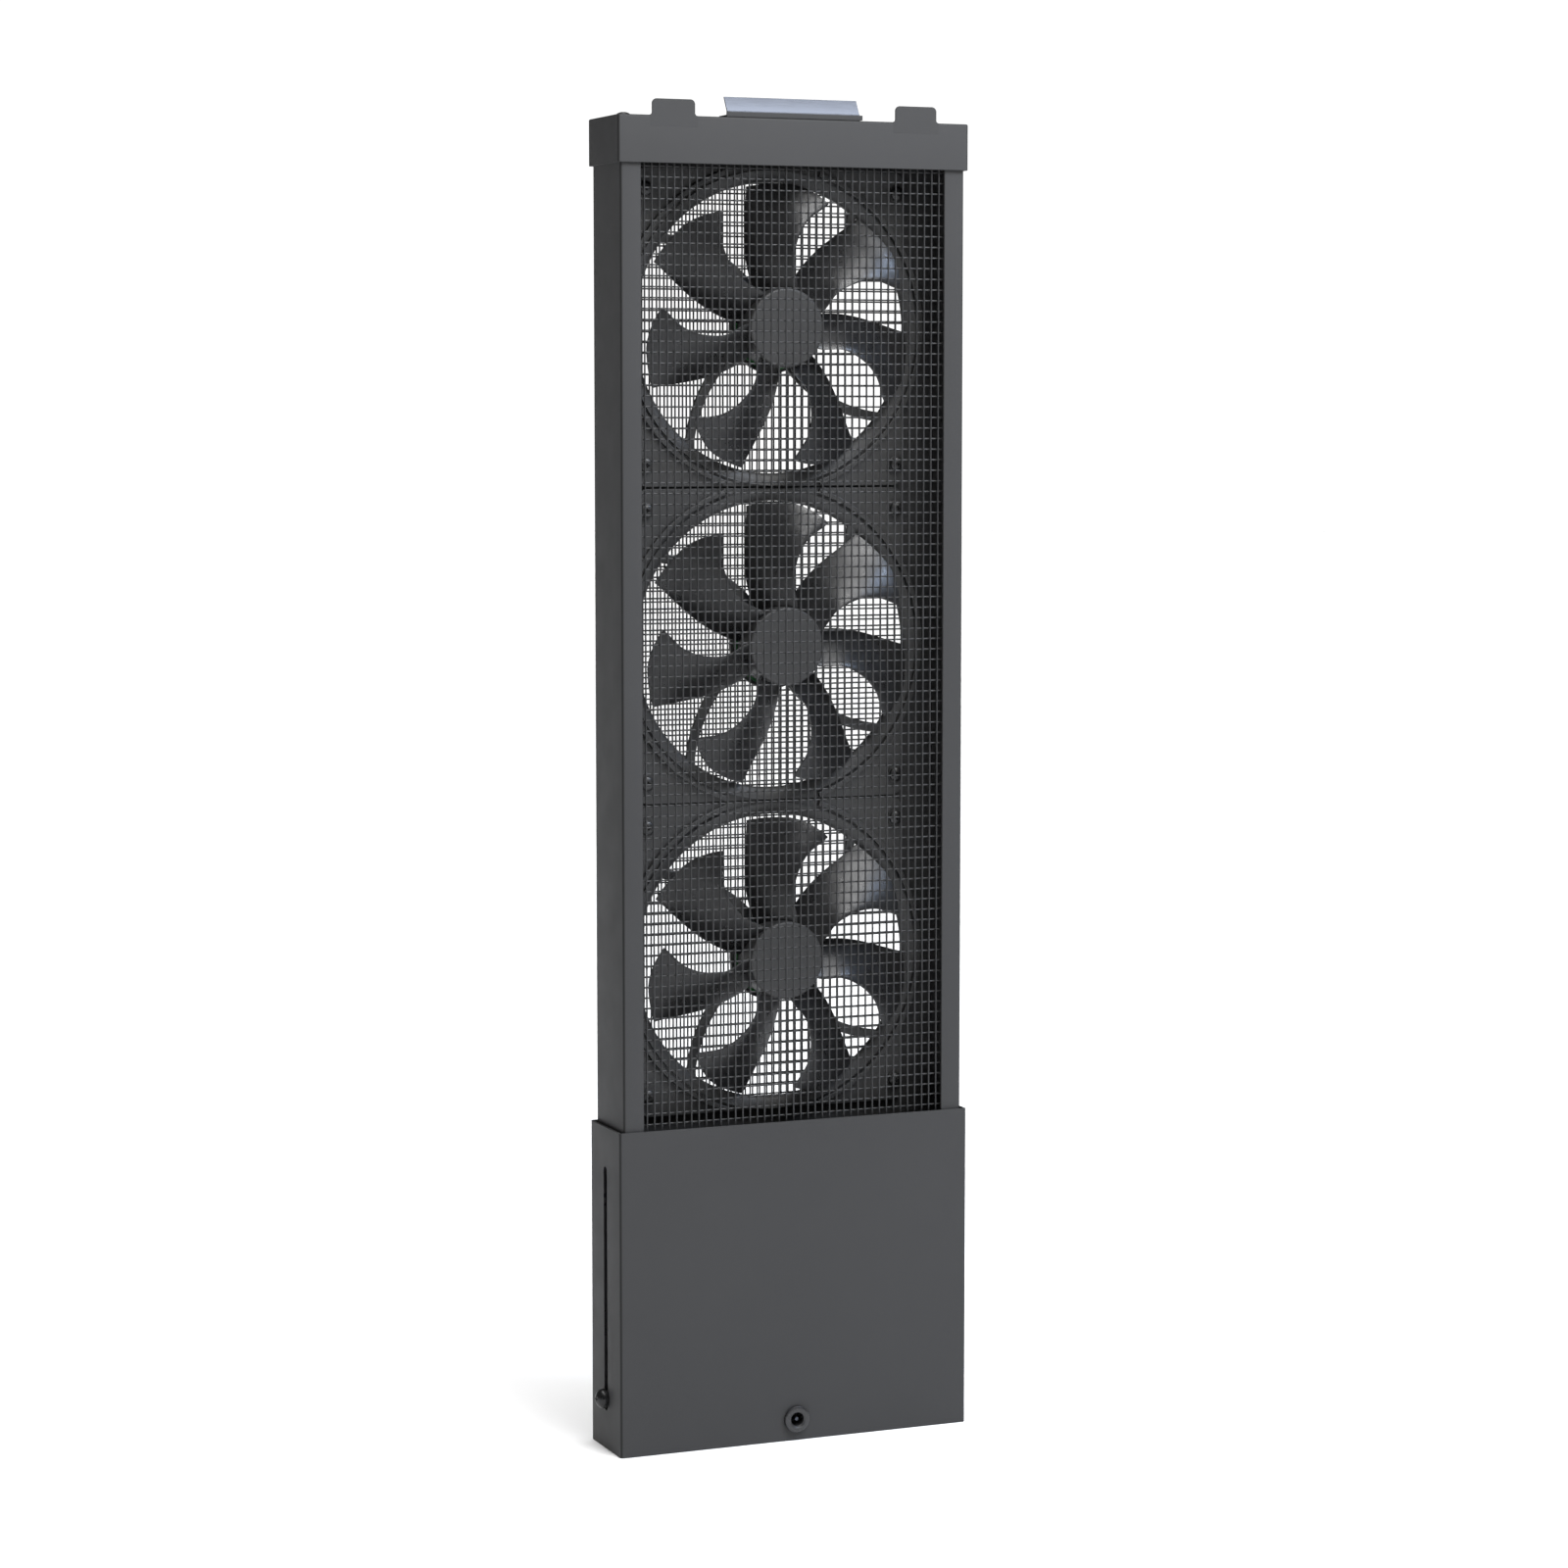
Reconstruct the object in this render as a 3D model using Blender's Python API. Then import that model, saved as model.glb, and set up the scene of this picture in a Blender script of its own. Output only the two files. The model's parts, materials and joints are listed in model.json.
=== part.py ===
"""Extendable exhaust fan for a sash or sliding window.

Three axial fans stand one above the other in a sheet-metal frame. The frame slides up out of a
lower sleeve, where a clamp screw on each side holds it. Metres, +Z up, front towards -Y. The
origin is the middle of the sleeve's foot, and the fan is shown slid down, as it is stored.
"""
import math

import bmesh
import bpy
from mathutils import Matrix

# Sheet metal, wire and fits
SHEET = 0.0010
BEND = 0.0014
GAP = 0.0003
WIRE = 0.0008
RUNNING_FIT = 0.0001

# One fan
DUCT_RADIUS = 0.0680
DUCT_WALL = 0.0020
LIP_WIDTH = 0.0014
LIP_HEIGHT = 0.0006
FAN_DEPTH = 0.0250
RIM_REACH = 0.0041
RIM_WIDTH = 0.0024
EAR_STEP = 0.0095
EAR_THICK = 0.0045
EAR_CORNER = 0.0050
EAR_SCREW_INSET = 0.00375
EAR_SCREW_DROP = 0.00975
STRUT_COUNT = 4
STRUT_WIDTH = 0.0050
STRUT_OUTER_ANGLE = math.radians(54)
STRUT_SWEEP = math.radians(26)
MOTOR_RADIUS = 0.0205
MOTOR_BASE_THICK = 0.0034
BEARING_TUBE_WALL = 0.0012

# Impeller and its motor
HUB_RADIUS = 0.01805
HUB_SETBACK = 0.0031
HUB_WALL = 0.0010
HUB_EDGE = 0.0012
BLADE_COUNT = 7
BLADE_THICK = 0.0016
BLADE_CLEARANCE = 0.0025
BLADE_CHORD_STEPS = 3
BLADE_CORNER_CUT = 0.0053
SHAFT_RADIUS = 0.0015
SHAFT_BOSS_WALL = 0.0021
SHAFT_BOSS_LENGTH = 0.0030
BEARING_WALL = 0.0023
MAGNET_THICK = 0.0021
MAGNET_LENGTH = 0.0130
AIR_GAP = 0.0006
STATOR_POLES = 4
STATOR_LENGTH = 0.0100
BOARD_THICK = 0.0012

# Stack of fans in the frame
FAN_COUNT = 3
FAN_SPACING = 0.0022
EAR_SPACING = 0.0010
FAN_SETBACK = 0.0030
SIDE_ROOM = 0.0116
FLANGE_WIDTH = 0.0100
MEMBER_HEIGHT = 0.0100

# Guard of crossed wires
UPRIGHT_PITCH = 0.0036
CROSSWIRE_PITCH = 0.00485
GUARD_HEM = 0.0075
GUARD_END = 0.0060

# Lower sleeve
SLEEVE_HEIGHT = 0.1500
SIDE_PLAY = 0.0015
FACE_PLAY = 0.0005
FAN_ABOVE_SLEEVE = 0.0010
SLOT_BOTTOM = 0.0180
SLOT_TOP = 0.1316
FOOT_FLANGE = 0.0060

# Places in the frame, measured above the sill at rest
FRAME_FOOT = 0.0125
MEMBER_FOOT = 0.0300
CLAMP_HEIGHT = 0.0237

# Clamp screws
CLAMP_RADIUS = 0.0019
CLAMP_SLOT_PLAY = 0.00025
CLAMP_HEAD_RADIUS = 0.0045
CLAMP_RIM = 0.0012
CLAMP_DOME = 0.0036
CLAMP_REACH = 0.0085
RIVET_NUT_WALL = 0.0011
RIVET_NUT_FLANGE = 0.0008
RIVET_NUT_LENGTH = 0.0080

# Cap with its two tabs
CAP_HEIGHT = 0.0210
CAP_PLAY = 0.0005
TAB_FROM_END = 0.0265
TAB_WIDTH = 0.0204
TAB_RISE = 0.0072
TAB_CORNER = 0.0022
TAB_FILLET = 0.0012
TAB_ROOT = 0.0050
TAB_INSET = 0.00005
CAP_SCREW_FROM_END = 0.0120
CAP_SCREW_FROM_BACK = 0.0080
CAP_SCREW_RADIUS = 0.0019
CAP_SCREW_HEAD_RADIUS = 0.0038
CAP_SCREW_HEAD_HEIGHT = 0.0028

# Sprung strip on the cap
STRIP_LENGTH = 0.0646
STRIP_RISE = 0.0072
STRIP_THICK = 0.0007
STRIP_LEAN = math.radians(30)
STRIP_BEAD = 0.0008
STRIP_SETBACK = 0.0033
RAIL_THICK = 0.0008
RAIL_DEPTH = 0.0110
RAIL_LIP = 0.0022
RAIL_RIVET_FROM_END = 0.0073
RIVET_RADIUS = 0.0012

# Power socket
SOCKET_HEIGHT = 0.0102
SOCKET_FLANGE_RADIUS = 0.0061
SOCKET_FLANGE_THICK = 0.0016
SOCKET_BARREL_RADIUS = 0.0039
SOCKET_LENGTH = 0.0140
SOCKET_BORE_RADIUS = 0.0031
SOCKET_BORE_DEPTH = 0.0090
SOCKET_PIN_RADIUS = 0.0010
SOCKET_NUT_RADIUS = 0.0062
SOCKET_NUT_THICK = 0.0022

# Fasteners of the fans
FAN_SCREW_RADIUS = 0.0018
FAN_SCREW_HEAD_RADIUS = 0.0034
FAN_SCREW_HEAD_HEIGHT = 0.0020

# Facets of round shapes
RING_FACETS = 36
HUB_FACETS = 24
SMALL_FACETS = 16
SCREW_FACETS = 12
HOLE_FACETS = 8

# Sizes that follow from the ones above
LIP_RADIUS = DUCT_RADIUS + DUCT_WALL + LIP_WIDTH
RIM_RADIUS = LIP_RADIUS + RIM_REACH
FAN_PITCH = 2 * LIP_RADIUS + FAN_SPACING
EAR_HEIGHT = FAN_PITCH - EAR_SPACING
EAR_WIDTH = 2 * (RIM_RADIUS - EAR_STEP)
EAR_SCREW_X = EAR_WIDTH / 2 - EAR_SCREW_INSET
EAR_SCREW_Z = EAR_HEIGHT / 2 - EAR_SCREW_DROP
RING_FRONT = FAN_DEPTH - EAR_THICK
FRAME_WIDTH = 2 * (LIP_RADIUS + SIDE_ROOM + SHEET)
INNER_WIDTH = FRAME_WIDTH - 2 * (SHEET + GAP)
GUARD_DEPTH = 2 * (WIRE + GAP)
FRAME_DEPTH = 3 * SHEET + 2 * GUARD_DEPTH + FAN_SETBACK + FAN_DEPTH + 2 * GAP
FRAME_FRONT = -FRAME_DEPTH / 2
FRONT_UPRIGHTS_Y = FRAME_FRONT + SHEET + GAP
FRONT_CROSSWIRES_Y = FRONT_UPRIGHTS_Y + WIRE + GAP
FAN_FRONT = FRONT_CROSSWIRES_Y + WIRE + FAN_SETBACK
PLATE_Y = FAN_FRONT + FAN_DEPTH + GAP
REAR_CROSSWIRES_Y = PLATE_Y + SHEET + GAP
REAR_UPRIGHTS_Y = REAR_CROSSWIRES_Y + WIRE + GAP
SLEEVE_WIDTH = FRAME_WIDTH + 2 * (SIDE_PLAY + SHEET)
SLEEVE_DEPTH = FRAME_DEPTH + 2 * (FACE_PLAY + SHEET)
SLEEVE_FRONT = -SLEEVE_DEPTH / 2
SLOT_WIDTH = 2 * (CLAMP_RADIUS + CLAMP_SLOT_PLAY)
LOWEST_FAN = SLEEVE_HEIGHT + FAN_ABOVE_SLEEVE + EAR_HEIGHT / 2
FAN_HEIGHTS = [LOWEST_FAN + FAN_PITCH * i for i in range(FAN_COUNT)]
CAP_SKIRT = FAN_HEIGHTS[-1] + EAR_HEIGHT / 2
CAP_TOP = CAP_SKIRT + CAP_HEIGHT
CAP_WIDTH = FRAME_WIDTH + 2 * (CAP_PLAY + SHEET)
CAP_DEPTH = FRAME_DEPTH + 2 * (CAP_PLAY + SHEET)
CAP_FRONT = -CAP_DEPTH / 2
TAB_X = CAP_WIDTH / 2 - TAB_FROM_END
CAP_SCREW_X = FRAME_WIDTH / 2 - CAP_SCREW_FROM_END
CAP_SCREW_Y = FRAME_DEPTH / 2 - CAP_SCREW_FROM_BACK
RAIL_RIVET_X = STRIP_LENGTH / 2 - RAIL_RIVET_FROM_END
FRAME_TOP = CAP_TOP - SHEET - GAP
BLADE_ROOT = HUB_RADIUS - HUB_WALL / 2
BLADE_TIP = DUCT_RADIUS - BLADE_CLEARANCE
SHAFT_SEAT = SHAFT_RADIUS + RUNNING_FIT
BEARING_RADIUS = SHAFT_SEAT + BEARING_WALL
BEARING_SEAT = BEARING_RADIUS + RUNNING_FIT
BEARING_TUBE_RADIUS = BEARING_SEAT + BEARING_TUBE_WALL
HUB_INSIDE = HUB_RADIUS - HUB_WALL
MOTOR_FRONT = FAN_DEPTH - MOTOR_BASE_THICK
STRUT_THICK = MOTOR_BASE_THICK - LIP_HEIGHT - 2 * GAP
FAN_NAMES = ["bottom_fan", "middle_fan", "top_fan"]


def clear_scene():
    for item in list(bpy.data.objects):
        bpy.data.objects.remove(item, do_unlink=True)
    for mesh in list(bpy.data.meshes):
        bpy.data.meshes.remove(mesh)


def make_material(name, color, roughness, metallic):
    material = bpy.data.materials.new(name)
    material.use_nodes = True
    shader = material.node_tree.nodes["Principled BSDF"]
    shader.inputs["Base Color"].default_value = (*color, 1.0)
    shader.inputs["Roughness"].default_value = roughness
    shader.inputs["Metallic"].default_value = metallic
    return material


def add_object(name, mesh, material=None, location=(0, 0, 0), rotation=(0, 0, 0), parent=None):
    """Places a mesh as a named object. The mesh may be shared with other objects."""
    item = bpy.data.objects.new(name, mesh)
    bpy.context.scene.collection.objects.link(item)
    if material is not None and not mesh.materials:
        mesh.materials.append(material)
    item.location = location
    item.rotation_euler = rotation
    item.parent = parent
    return item


def add_empty(name, location, parent=None):
    item = bpy.data.objects.new(name, None)
    bpy.context.scene.collection.objects.link(item)
    item.location = location
    item.parent = parent
    return item


def finish_mesh(bm, name, smooth_angle=None):
    bmesh.ops.recalc_face_normals(bm, faces=bm.faces)
    mesh = bpy.data.meshes.new(name)
    bm.to_mesh(mesh)
    bm.free()
    if smooth_angle is not None:
        mesh.shade_smooth()
        mesh.set_sharp_from_angle(angle=math.radians(smooth_angle))
    return mesh


def arc(centre, radius, start, end, steps):
    """Points along an arc from one angle to another, both ends included."""
    points = []
    for i in range(steps + 1):
        angle = start + (end - start) * i / steps
        points.append((centre[0] + radius * math.cos(angle), centre[1] + radius * math.sin(angle)))
    return points


def circle(centre, radius, facets):
    return arc(centre, radius, 0, 2 * math.pi * (facets - 1) / facets, facets - 1)


def rounded_rectangle(width, height, radius, steps=2, centre=(0, 0)):
    points = []
    corners = ((1, 1), (-1, 1), (-1, -1), (1, -1))
    for quarter, (sx, sy) in enumerate(corners):
        cx = centre[0] + sx * (width / 2 - radius)
        cy = centre[1] + sy * (height / 2 - radius)
        start = quarter * math.pi / 2
        points += arc((cx, cy), radius, start, start + math.pi / 2, steps)
    return points


def prism(name, outline, holes, depth, smooth_angle=None):
    """A flat outline with holes in the local XY plane, extruded along local +Z."""
    bm = bmesh.new()
    edges = []
    for loop in [outline] + list(holes):
        corners = [bm.verts.new((x, y, 0)) for x, y in loop]
        for i, corner in enumerate(corners):
            edges.append(bm.edges.new((corner, corners[(i + 1) % len(corners)])))
    bmesh.ops.triangle_fill(bm, use_beauty=True, use_dissolve=False, edges=edges)
    bmesh.ops.recalc_face_normals(bm, faces=bm.faces)
    grown = bmesh.ops.extrude_face_region(bm, geom=list(bm.faces))
    raised = [v for v in grown["geom"] if isinstance(v, bmesh.types.BMVert)]
    bmesh.ops.translate(bm, verts=raised, vec=(0, 0, depth))
    return finish_mesh(bm, name, smooth_angle)


def turned(name, profile, facets, smooth_angle=35):
    """A closed profile of (radius, length) points, turned round the local Z axis."""
    bm = bmesh.new()
    corners = [bm.verts.new((radius, 0, length)) for radius, length in profile]
    edges = [bm.edges.new((a, b)) for a, b in zip(corners, corners[1:])]
    on_axis = profile[0][0] == 0 and profile[-1][0] == 0
    if not on_axis:
        edges.append(bm.edges.new((corners[-1], corners[0])))
    bmesh.ops.spin(bm, geom=corners + edges, cent=(0, 0, 0), axis=(0, 0, 1), dvec=(0, 0, 0),
                   angle=2 * math.pi, steps=facets, use_merge=True, use_duplicate=False)
    bmesh.ops.remove_doubles(bm, verts=bm.verts, dist=1e-6)
    return finish_mesh(bm, name, smooth_angle)


def moved(mesh, matrix):
    mesh.transform(matrix)
    if matrix.determinant() < 0:
        mesh.flip_normals()
    return mesh


def combine(name, base, others, operation, smooth_angle=None):
    """Joins the other meshes to the base, or cuts them out of it, and returns one mesh."""
    holder = add_object(name + "_base", base)
    group = bpy.data.collections.new(name + "_operands")
    for i, other in enumerate(others):
        group.objects.link(bpy.data.objects.new(f"{name}_operand_{i}", other))
    bpy.context.scene.collection.children.link(group)
    modifier = holder.modifiers.new("combine", "BOOLEAN")
    modifier.operation = operation
    modifier.operand_type = "COLLECTION"
    modifier.collection = group
    modifier.solver = "EXACT"
    bpy.context.view_layer.update()
    graph = bpy.context.evaluated_depsgraph_get()
    mesh = bpy.data.meshes.new_from_object(holder.evaluated_get(graph))
    mesh.name = name
    for item in list(group.objects) + [holder]:
        bpy.data.objects.remove(item, do_unlink=True)
    bpy.data.collections.remove(group)
    if smooth_angle is not None:
        mesh.shade_smooth()
        mesh.set_sharp_from_angle(angle=math.radians(smooth_angle))
    return mesh


# Turns a mesh drawn along local Z so that it runs along another axis
ALONG_Y = Matrix.Rotation(-math.pi / 2, 4, "X")
ALONG_X = Matrix.Rotation(math.pi / 2, 4, "Y")


def upright_plane(depth_start):
    """Lays a prism drawn in local XY upright: drawn Y becomes Z, and it grows towards +Y."""
    turn = Matrix(((1, 0, 0, 0), (0, 0, 1, 0), (0, 1, 0, 0), (0, 0, 0, 1)))
    return Matrix.Translation((0, depth_start, 0)) @ turn


def channel_outline(leg, width, thickness, radius):
    """Section of a folded channel: back along Y at X = 0, and a leg towards +X at each side."""
    inner = max(radius - thickness, thickness * 0.2)
    half = width / 2
    points = [(leg, -half)]
    points += arc((radius, radius - half), radius, 1.5 * math.pi, math.pi, 2)
    points += arc((radius, half - radius), radius, math.pi, 0.5 * math.pi, 2)
    points += [(leg, half), (leg, half - thickness)]
    points += arc((thickness + inner, half - thickness - inner), inner,
                  0.5 * math.pi, math.pi, 2)
    points += arc((thickness + inner, thickness + inner - half), inner,
                  math.pi, 1.5 * math.pi, 2)
    points += [(leg, thickness - half)]
    return points


def ladder(name, length, height, hem, end, pitch, thickness):
    """A net with wires along local X between two hems, stacked along local Y."""
    span = height - 2 * end
    count = max(2, round(span / pitch))
    step = span / count
    bottoms = [end + step * i + WIRE / 2 - height / 2 for i in range(count)]
    tops = [low + step - WIRE for low in bottoms]
    rungs = [(-height / 2, bottoms[0])]
    rungs += [(tops[i], bottoms[i + 1]) for i in range(count - 1)]
    rungs += [(tops[-1], height / 2)]
    inside = length / 2 - hem
    bm = bmesh.new()
    rails = {}
    for side in (-1, 1):
        outer_low = bm.verts.new((side * length / 2, -height / 2, 0))
        outer_high = bm.verts.new((side * length / 2, height / 2, 0))
        inner = [bm.verts.new((side * inside, y, 0)) for rung in rungs for y in rung]
        middle = len(inner) // 2
        for i in range(len(inner) - 1):
            anchor = outer_low if i < middle else outer_high
            bm.faces.new((anchor, inner[i], inner[i + 1]))
        bm.faces.new((outer_low, inner[middle], outer_high))
        rails[side] = inner
    for i in range(len(rungs)):
        low = 2 * i
        bm.faces.new((rails[-1][low], rails[1][low], rails[1][low + 1], rails[-1][low + 1]))
    bmesh.ops.recalc_face_normals(bm, faces=bm.faces)
    grown = bmesh.ops.extrude_face_region(bm, geom=list(bm.faces))
    raised = [v for v in grown["geom"] if isinstance(v, bmesh.types.BMVert)]
    bmesh.ops.translate(bm, verts=raised, vec=(0, 0, thickness))
    return finish_mesh(bm, name)


def pan_screw(name, head_radius, head_height, shank_radius, length, dome=0.0, facets=SCREW_FACETS):
    """A screw along local Z: its head rises from zero and its shank goes down."""
    profile = [(0, -length), (shank_radius, -length), (shank_radius, 0), (head_radius, 0)]
    if dome:
        rim = head_height - dome
        profile.append((head_radius, rim))
        profile.append((head_radius * 0.86, rim + dome * 0.55))
        profile.append((head_radius * 0.50, rim + dome * 0.90))
    else:
        profile.append((head_radius, head_height * 0.55))
        profile.append((head_radius * 0.72, head_height))
    profile.append((0, head_height))
    return turned(name, profile, facets)


# Fans


def polar(radius, angle):
    return (radius * math.cos(angle), radius * math.sin(angle))


def duct_ring():
    """Short round duct at the back of a fan, with a flared mouth to the front."""
    outer = LIP_RADIUS + LIP_HEIGHT / 2
    profile = [
        (outer, RING_FRONT - LIP_HEIGHT / 3),
        (LIP_RADIUS, RING_FRONT - LIP_HEIGHT / 3),
        (DUCT_RADIUS + LIP_WIDTH / 2, RING_FRONT + LIP_WIDTH),
        (DUCT_RADIUS, RING_FRONT + 2 * LIP_WIDTH),
        (DUCT_RADIUS, FAN_DEPTH - LIP_HEIGHT),
        (outer, FAN_DEPTH - LIP_HEIGHT),
    ]
    return moved(turned("duct_ring", profile, RING_FACETS), ALONG_Y)


def ear_screw_places():
    return [(sx * EAR_SCREW_X, sz * EAR_SCREW_Z) for sz in (-1, 1) for sx in (-1, 1)]


def flange_outline():
    """Flange round the duct: square with rounded corners, bulging out to the rim at the sides."""
    half = EAR_WIDTH / 2
    top = EAR_HEIGHT / 2
    edge = math.acos(half / RIM_RADIUS)
    across = half - EAR_CORNER
    up = top - EAR_CORNER
    points = arc((0, 0), RIM_RADIUS, -edge, edge, 8)
    points += arc((across, up), EAR_CORNER, 0, 0.5 * math.pi, 3)
    points += arc((-across, up), EAR_CORNER, 0.5 * math.pi, math.pi, 3)
    points += arc((0, 0), RIM_RADIUS, math.pi - edge, math.pi + edge, 8)
    points += arc((-across, -up), EAR_CORNER, math.pi, 1.5 * math.pi, 3)
    points += arc((across, -up), EAR_CORNER, 1.5 * math.pi, 2 * math.pi, 3)
    return points


def flange():
    holes = [circle(place, FAN_SCREW_RADIUS + RUNNING_FIT, HOLE_FACETS)
             for place in ear_screw_places()]
    holes.append(circle((0, 0), LIP_RADIUS + LIP_HEIGHT / 4, RING_FACETS))
    return moved(prism("flange", flange_outline(), holes, EAR_THICK), upright_plane(RING_FRONT))


def rim(side):
    """Raised rim on the flange's front, on the right (side 1) or the left (side -1)."""
    outer = RIM_RADIUS - RUNNING_FIT
    reach = math.asin((EAR_HEIGHT / 2 - GAP) / RIM_RADIUS)
    points = arc((0, 0), outer, -reach, reach, 16)
    points += arc((0, 0), outer - RIM_WIDTH, reach, -reach, 16)
    points = [(side * x, z) for x, z in points]
    bar = prism("rim", points, [], LIP_HEIGHT + EAR_THICK / 2)
    return moved(bar, upright_plane(RING_FRONT - LIP_HEIGHT))


def strut(index):
    """One swept strut between the motor base and the duct, at the back of the fan."""
    inner = MOTOR_RADIUS - STRUT_WIDTH / 2
    outer = DUCT_RADIUS + DUCT_WALL / 2
    end_angle = STRUT_OUTER_ANGLE + index * 2 * math.pi / STRUT_COUNT
    left, right = [], []
    steps = 5
    for i in range(steps + 1):
        share = i / steps
        radius = inner + (outer - inner) * share
        angle = end_angle - STRUT_SWEEP * (1 - share)
        half = STRUT_WIDTH / 2 / radius
        left.append(polar(radius, angle + half))
        right.append(polar(radius, angle - half))
    bar = prism("strut", left + right[::-1], [], STRUT_THICK)
    return moved(bar, upright_plane(MOTOR_FRONT + GAP))


def motor_base():
    """Round base behind the motor, with the tube that holds the bearing."""
    tube_front = HUB_SETBACK + HUB_WALL + SHAFT_BOSS_LENGTH + AIR_GAP
    pocket = FAN_DEPTH - MOTOR_BASE_THICK / 2
    profile = [
        (0, FAN_DEPTH - LIP_HEIGHT),
        (MOTOR_RADIUS, FAN_DEPTH - LIP_HEIGHT),
        (MOTOR_RADIUS, MOTOR_FRONT),
        (BEARING_TUBE_RADIUS, MOTOR_FRONT),
        (BEARING_TUBE_RADIUS, tube_front),
        (BEARING_SEAT, tube_front),
        (BEARING_SEAT, pocket),
        (0, pocket),
    ]
    return moved(turned("motor_base", profile, SMALL_FACETS), ALONG_Y)


def fan_housing_mesh():
    parts = [duct_ring(), rim(-1), rim(1)]
    parts += [strut(i) for i in range(STRUT_COUNT)]
    parts.append(motor_base())
    return combine("fan_housing", flange(), parts, "UNION", 35)


def hub_shell():
    """Cup-shaped hub, open to the rear, with the boss that grips the shaft."""
    front = HUB_SETBACK
    floor = front + HUB_WALL
    rear = MOTOR_FRONT - BOARD_THICK - 4 * GAP
    boss = SHAFT_SEAT + SHAFT_BOSS_WALL
    profile = [
        (0, front),
        (HUB_RADIUS - HUB_EDGE, front),
        (HUB_RADIUS, front + HUB_EDGE),
        (HUB_RADIUS, rear),
        (HUB_INSIDE, rear),
        (HUB_INSIDE, floor),
        (boss, floor),
        (boss, floor + SHAFT_BOSS_LENGTH),
        (SHAFT_SEAT, floor + SHAFT_BOSS_LENGTH),
        (SHAFT_SEAT, floor),
        (0, floor),
    ]
    return moved(turned("hub", profile, HUB_FACETS), ALONG_Y)


# Blade stations from root to tip: share of the blade's span, angles of the leading and the
# trailing edge seen from the front, and their depths as shares of the fan's depth.
BLADE_STATIONS = (
    (0.0, 71.6, 122.3, 0.200, 0.704),
    (0.22, 82.6, 117.3, 0.160, 0.736),
    (0.485, 82.4, 110.9, 0.160, 0.768),
    (0.75, 78.2, 105.3, 0.200, 0.784),
    (1.0, 71.2, 101.9, 0.256, 0.788),
)


def blade(index):
    """One sickle blade: a cambered surface between its edges, with its leading corner cut back."""
    turn = index * 2 * math.pi / BLADE_COUNT
    bm = bmesh.new()
    grid = {}
    for i, (share, leading, trailing, front, rear) in enumerate(BLADE_STATIONS):
        for j in range(BLADE_CHORD_STEPS + 1):
            along = j / BLADE_CHORD_STEPS
            tip = BLADE_TIP - BLADE_CORNER_CUT * max(0, 1 - 2 * along) ** 1.5
            radius = BLADE_ROOT + (tip - BLADE_ROOT) * share
            angle = math.radians(leading + (trailing - leading) * along) + turn
            depth = FAN_DEPTH * (front + (rear - front) * along ** 1.15)
            x, z = polar(radius, angle)
            for face, offset in ((0, -BLADE_THICK / 2), (1, BLADE_THICK / 2)):
                grid[i, j, face] = bm.verts.new((x, depth + offset, z))
    last_i = len(BLADE_STATIONS) - 1
    last_j = BLADE_CHORD_STEPS
    for i in range(last_i):
        for j in range(last_j):
            for face in (0, 1):
                bm.faces.new((grid[i, j, face], grid[i + 1, j, face],
                              grid[i + 1, j + 1, face], grid[i, j + 1, face]))
    for i in range(last_i):
        for j in (0, last_j):
            bm.faces.new((grid[i, j, 0], grid[i + 1, j, 0], grid[i + 1, j, 1], grid[i, j, 1]))
    for j in range(last_j):
        for i in (0, last_i):
            bm.faces.new((grid[i, j, 0], grid[i, j + 1, 0], grid[i, j + 1, 1], grid[i, j, 1]))
    return finish_mesh(bm, "blade")


def impeller_mesh():
    blades = [blade(i) for i in range(BLADE_COUNT)]
    return combine("impeller", hub_shell(), blades, "UNION", 35)


def magnet_mesh():
    outer = HUB_INSIDE - GAP
    inner = outer - MAGNET_THICK
    front = HUB_SETBACK + HUB_WALL + GAP
    profile = [(inner, front), (outer, front),
               (outer, front + MAGNET_LENGTH), (inner, front + MAGNET_LENGTH)]
    return moved(turned("rotor_magnet", profile, SMALL_FACETS), ALONG_Y)


def shaft_mesh():
    front = HUB_SETBACK + HUB_WALL + GAP
    rear = FAN_DEPTH - MOTOR_BASE_THICK / 2 - GAP
    profile = [(0, front), (SHAFT_RADIUS, front), (SHAFT_RADIUS, rear), (0, rear)]
    return moved(turned("shaft", profile, SCREW_FACETS), ALONG_Y)


def bearing_mesh():
    front = HUB_SETBACK + HUB_WALL + SHAFT_BOSS_LENGTH + AIR_GAP
    rear = FAN_DEPTH - MOTOR_BASE_THICK / 2 - GAP
    inner = SHAFT_SEAT
    profile = [(inner, front), (BEARING_RADIUS, front), (BEARING_RADIUS, rear), (inner, rear)]
    return moved(turned("bearing", profile, SMALL_FACETS), ALONG_Y)


def stator_mesh():
    """Wound iron core: poles with broad shoes round the bearing tube."""
    shoe = HUB_INSIDE - GAP - MAGNET_THICK - AIR_GAP
    root = BEARING_TUBE_RADIUS + 2 * RIVET_RADIUS
    slot = math.radians(9)
    outline = []
    for pole in range(STATOR_POLES):
        start = pole * 2 * math.pi / STATOR_POLES
        span = 2 * math.pi / STATOR_POLES
        outline += arc((0, 0), shoe, start + slot, start + span - slot, 5)
        outline.append(polar(shoe * 0.86, start + span - slot))
        outline.append(polar(root, start + span - 2.5 * slot))
        outline.append(polar(root, start + span + 2.5 * slot))
        outline.append(polar(shoe * 0.86, start + span + slot))
    bore = circle((0, 0), BEARING_TUBE_RADIUS + GAP, SMALL_FACETS)
    front = MOTOR_FRONT - GAP - BOARD_THICK - GAP - STATOR_LENGTH
    core = prism("stator", outline, [bore], STATOR_LENGTH)
    return moved(core, upright_plane(front))


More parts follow.
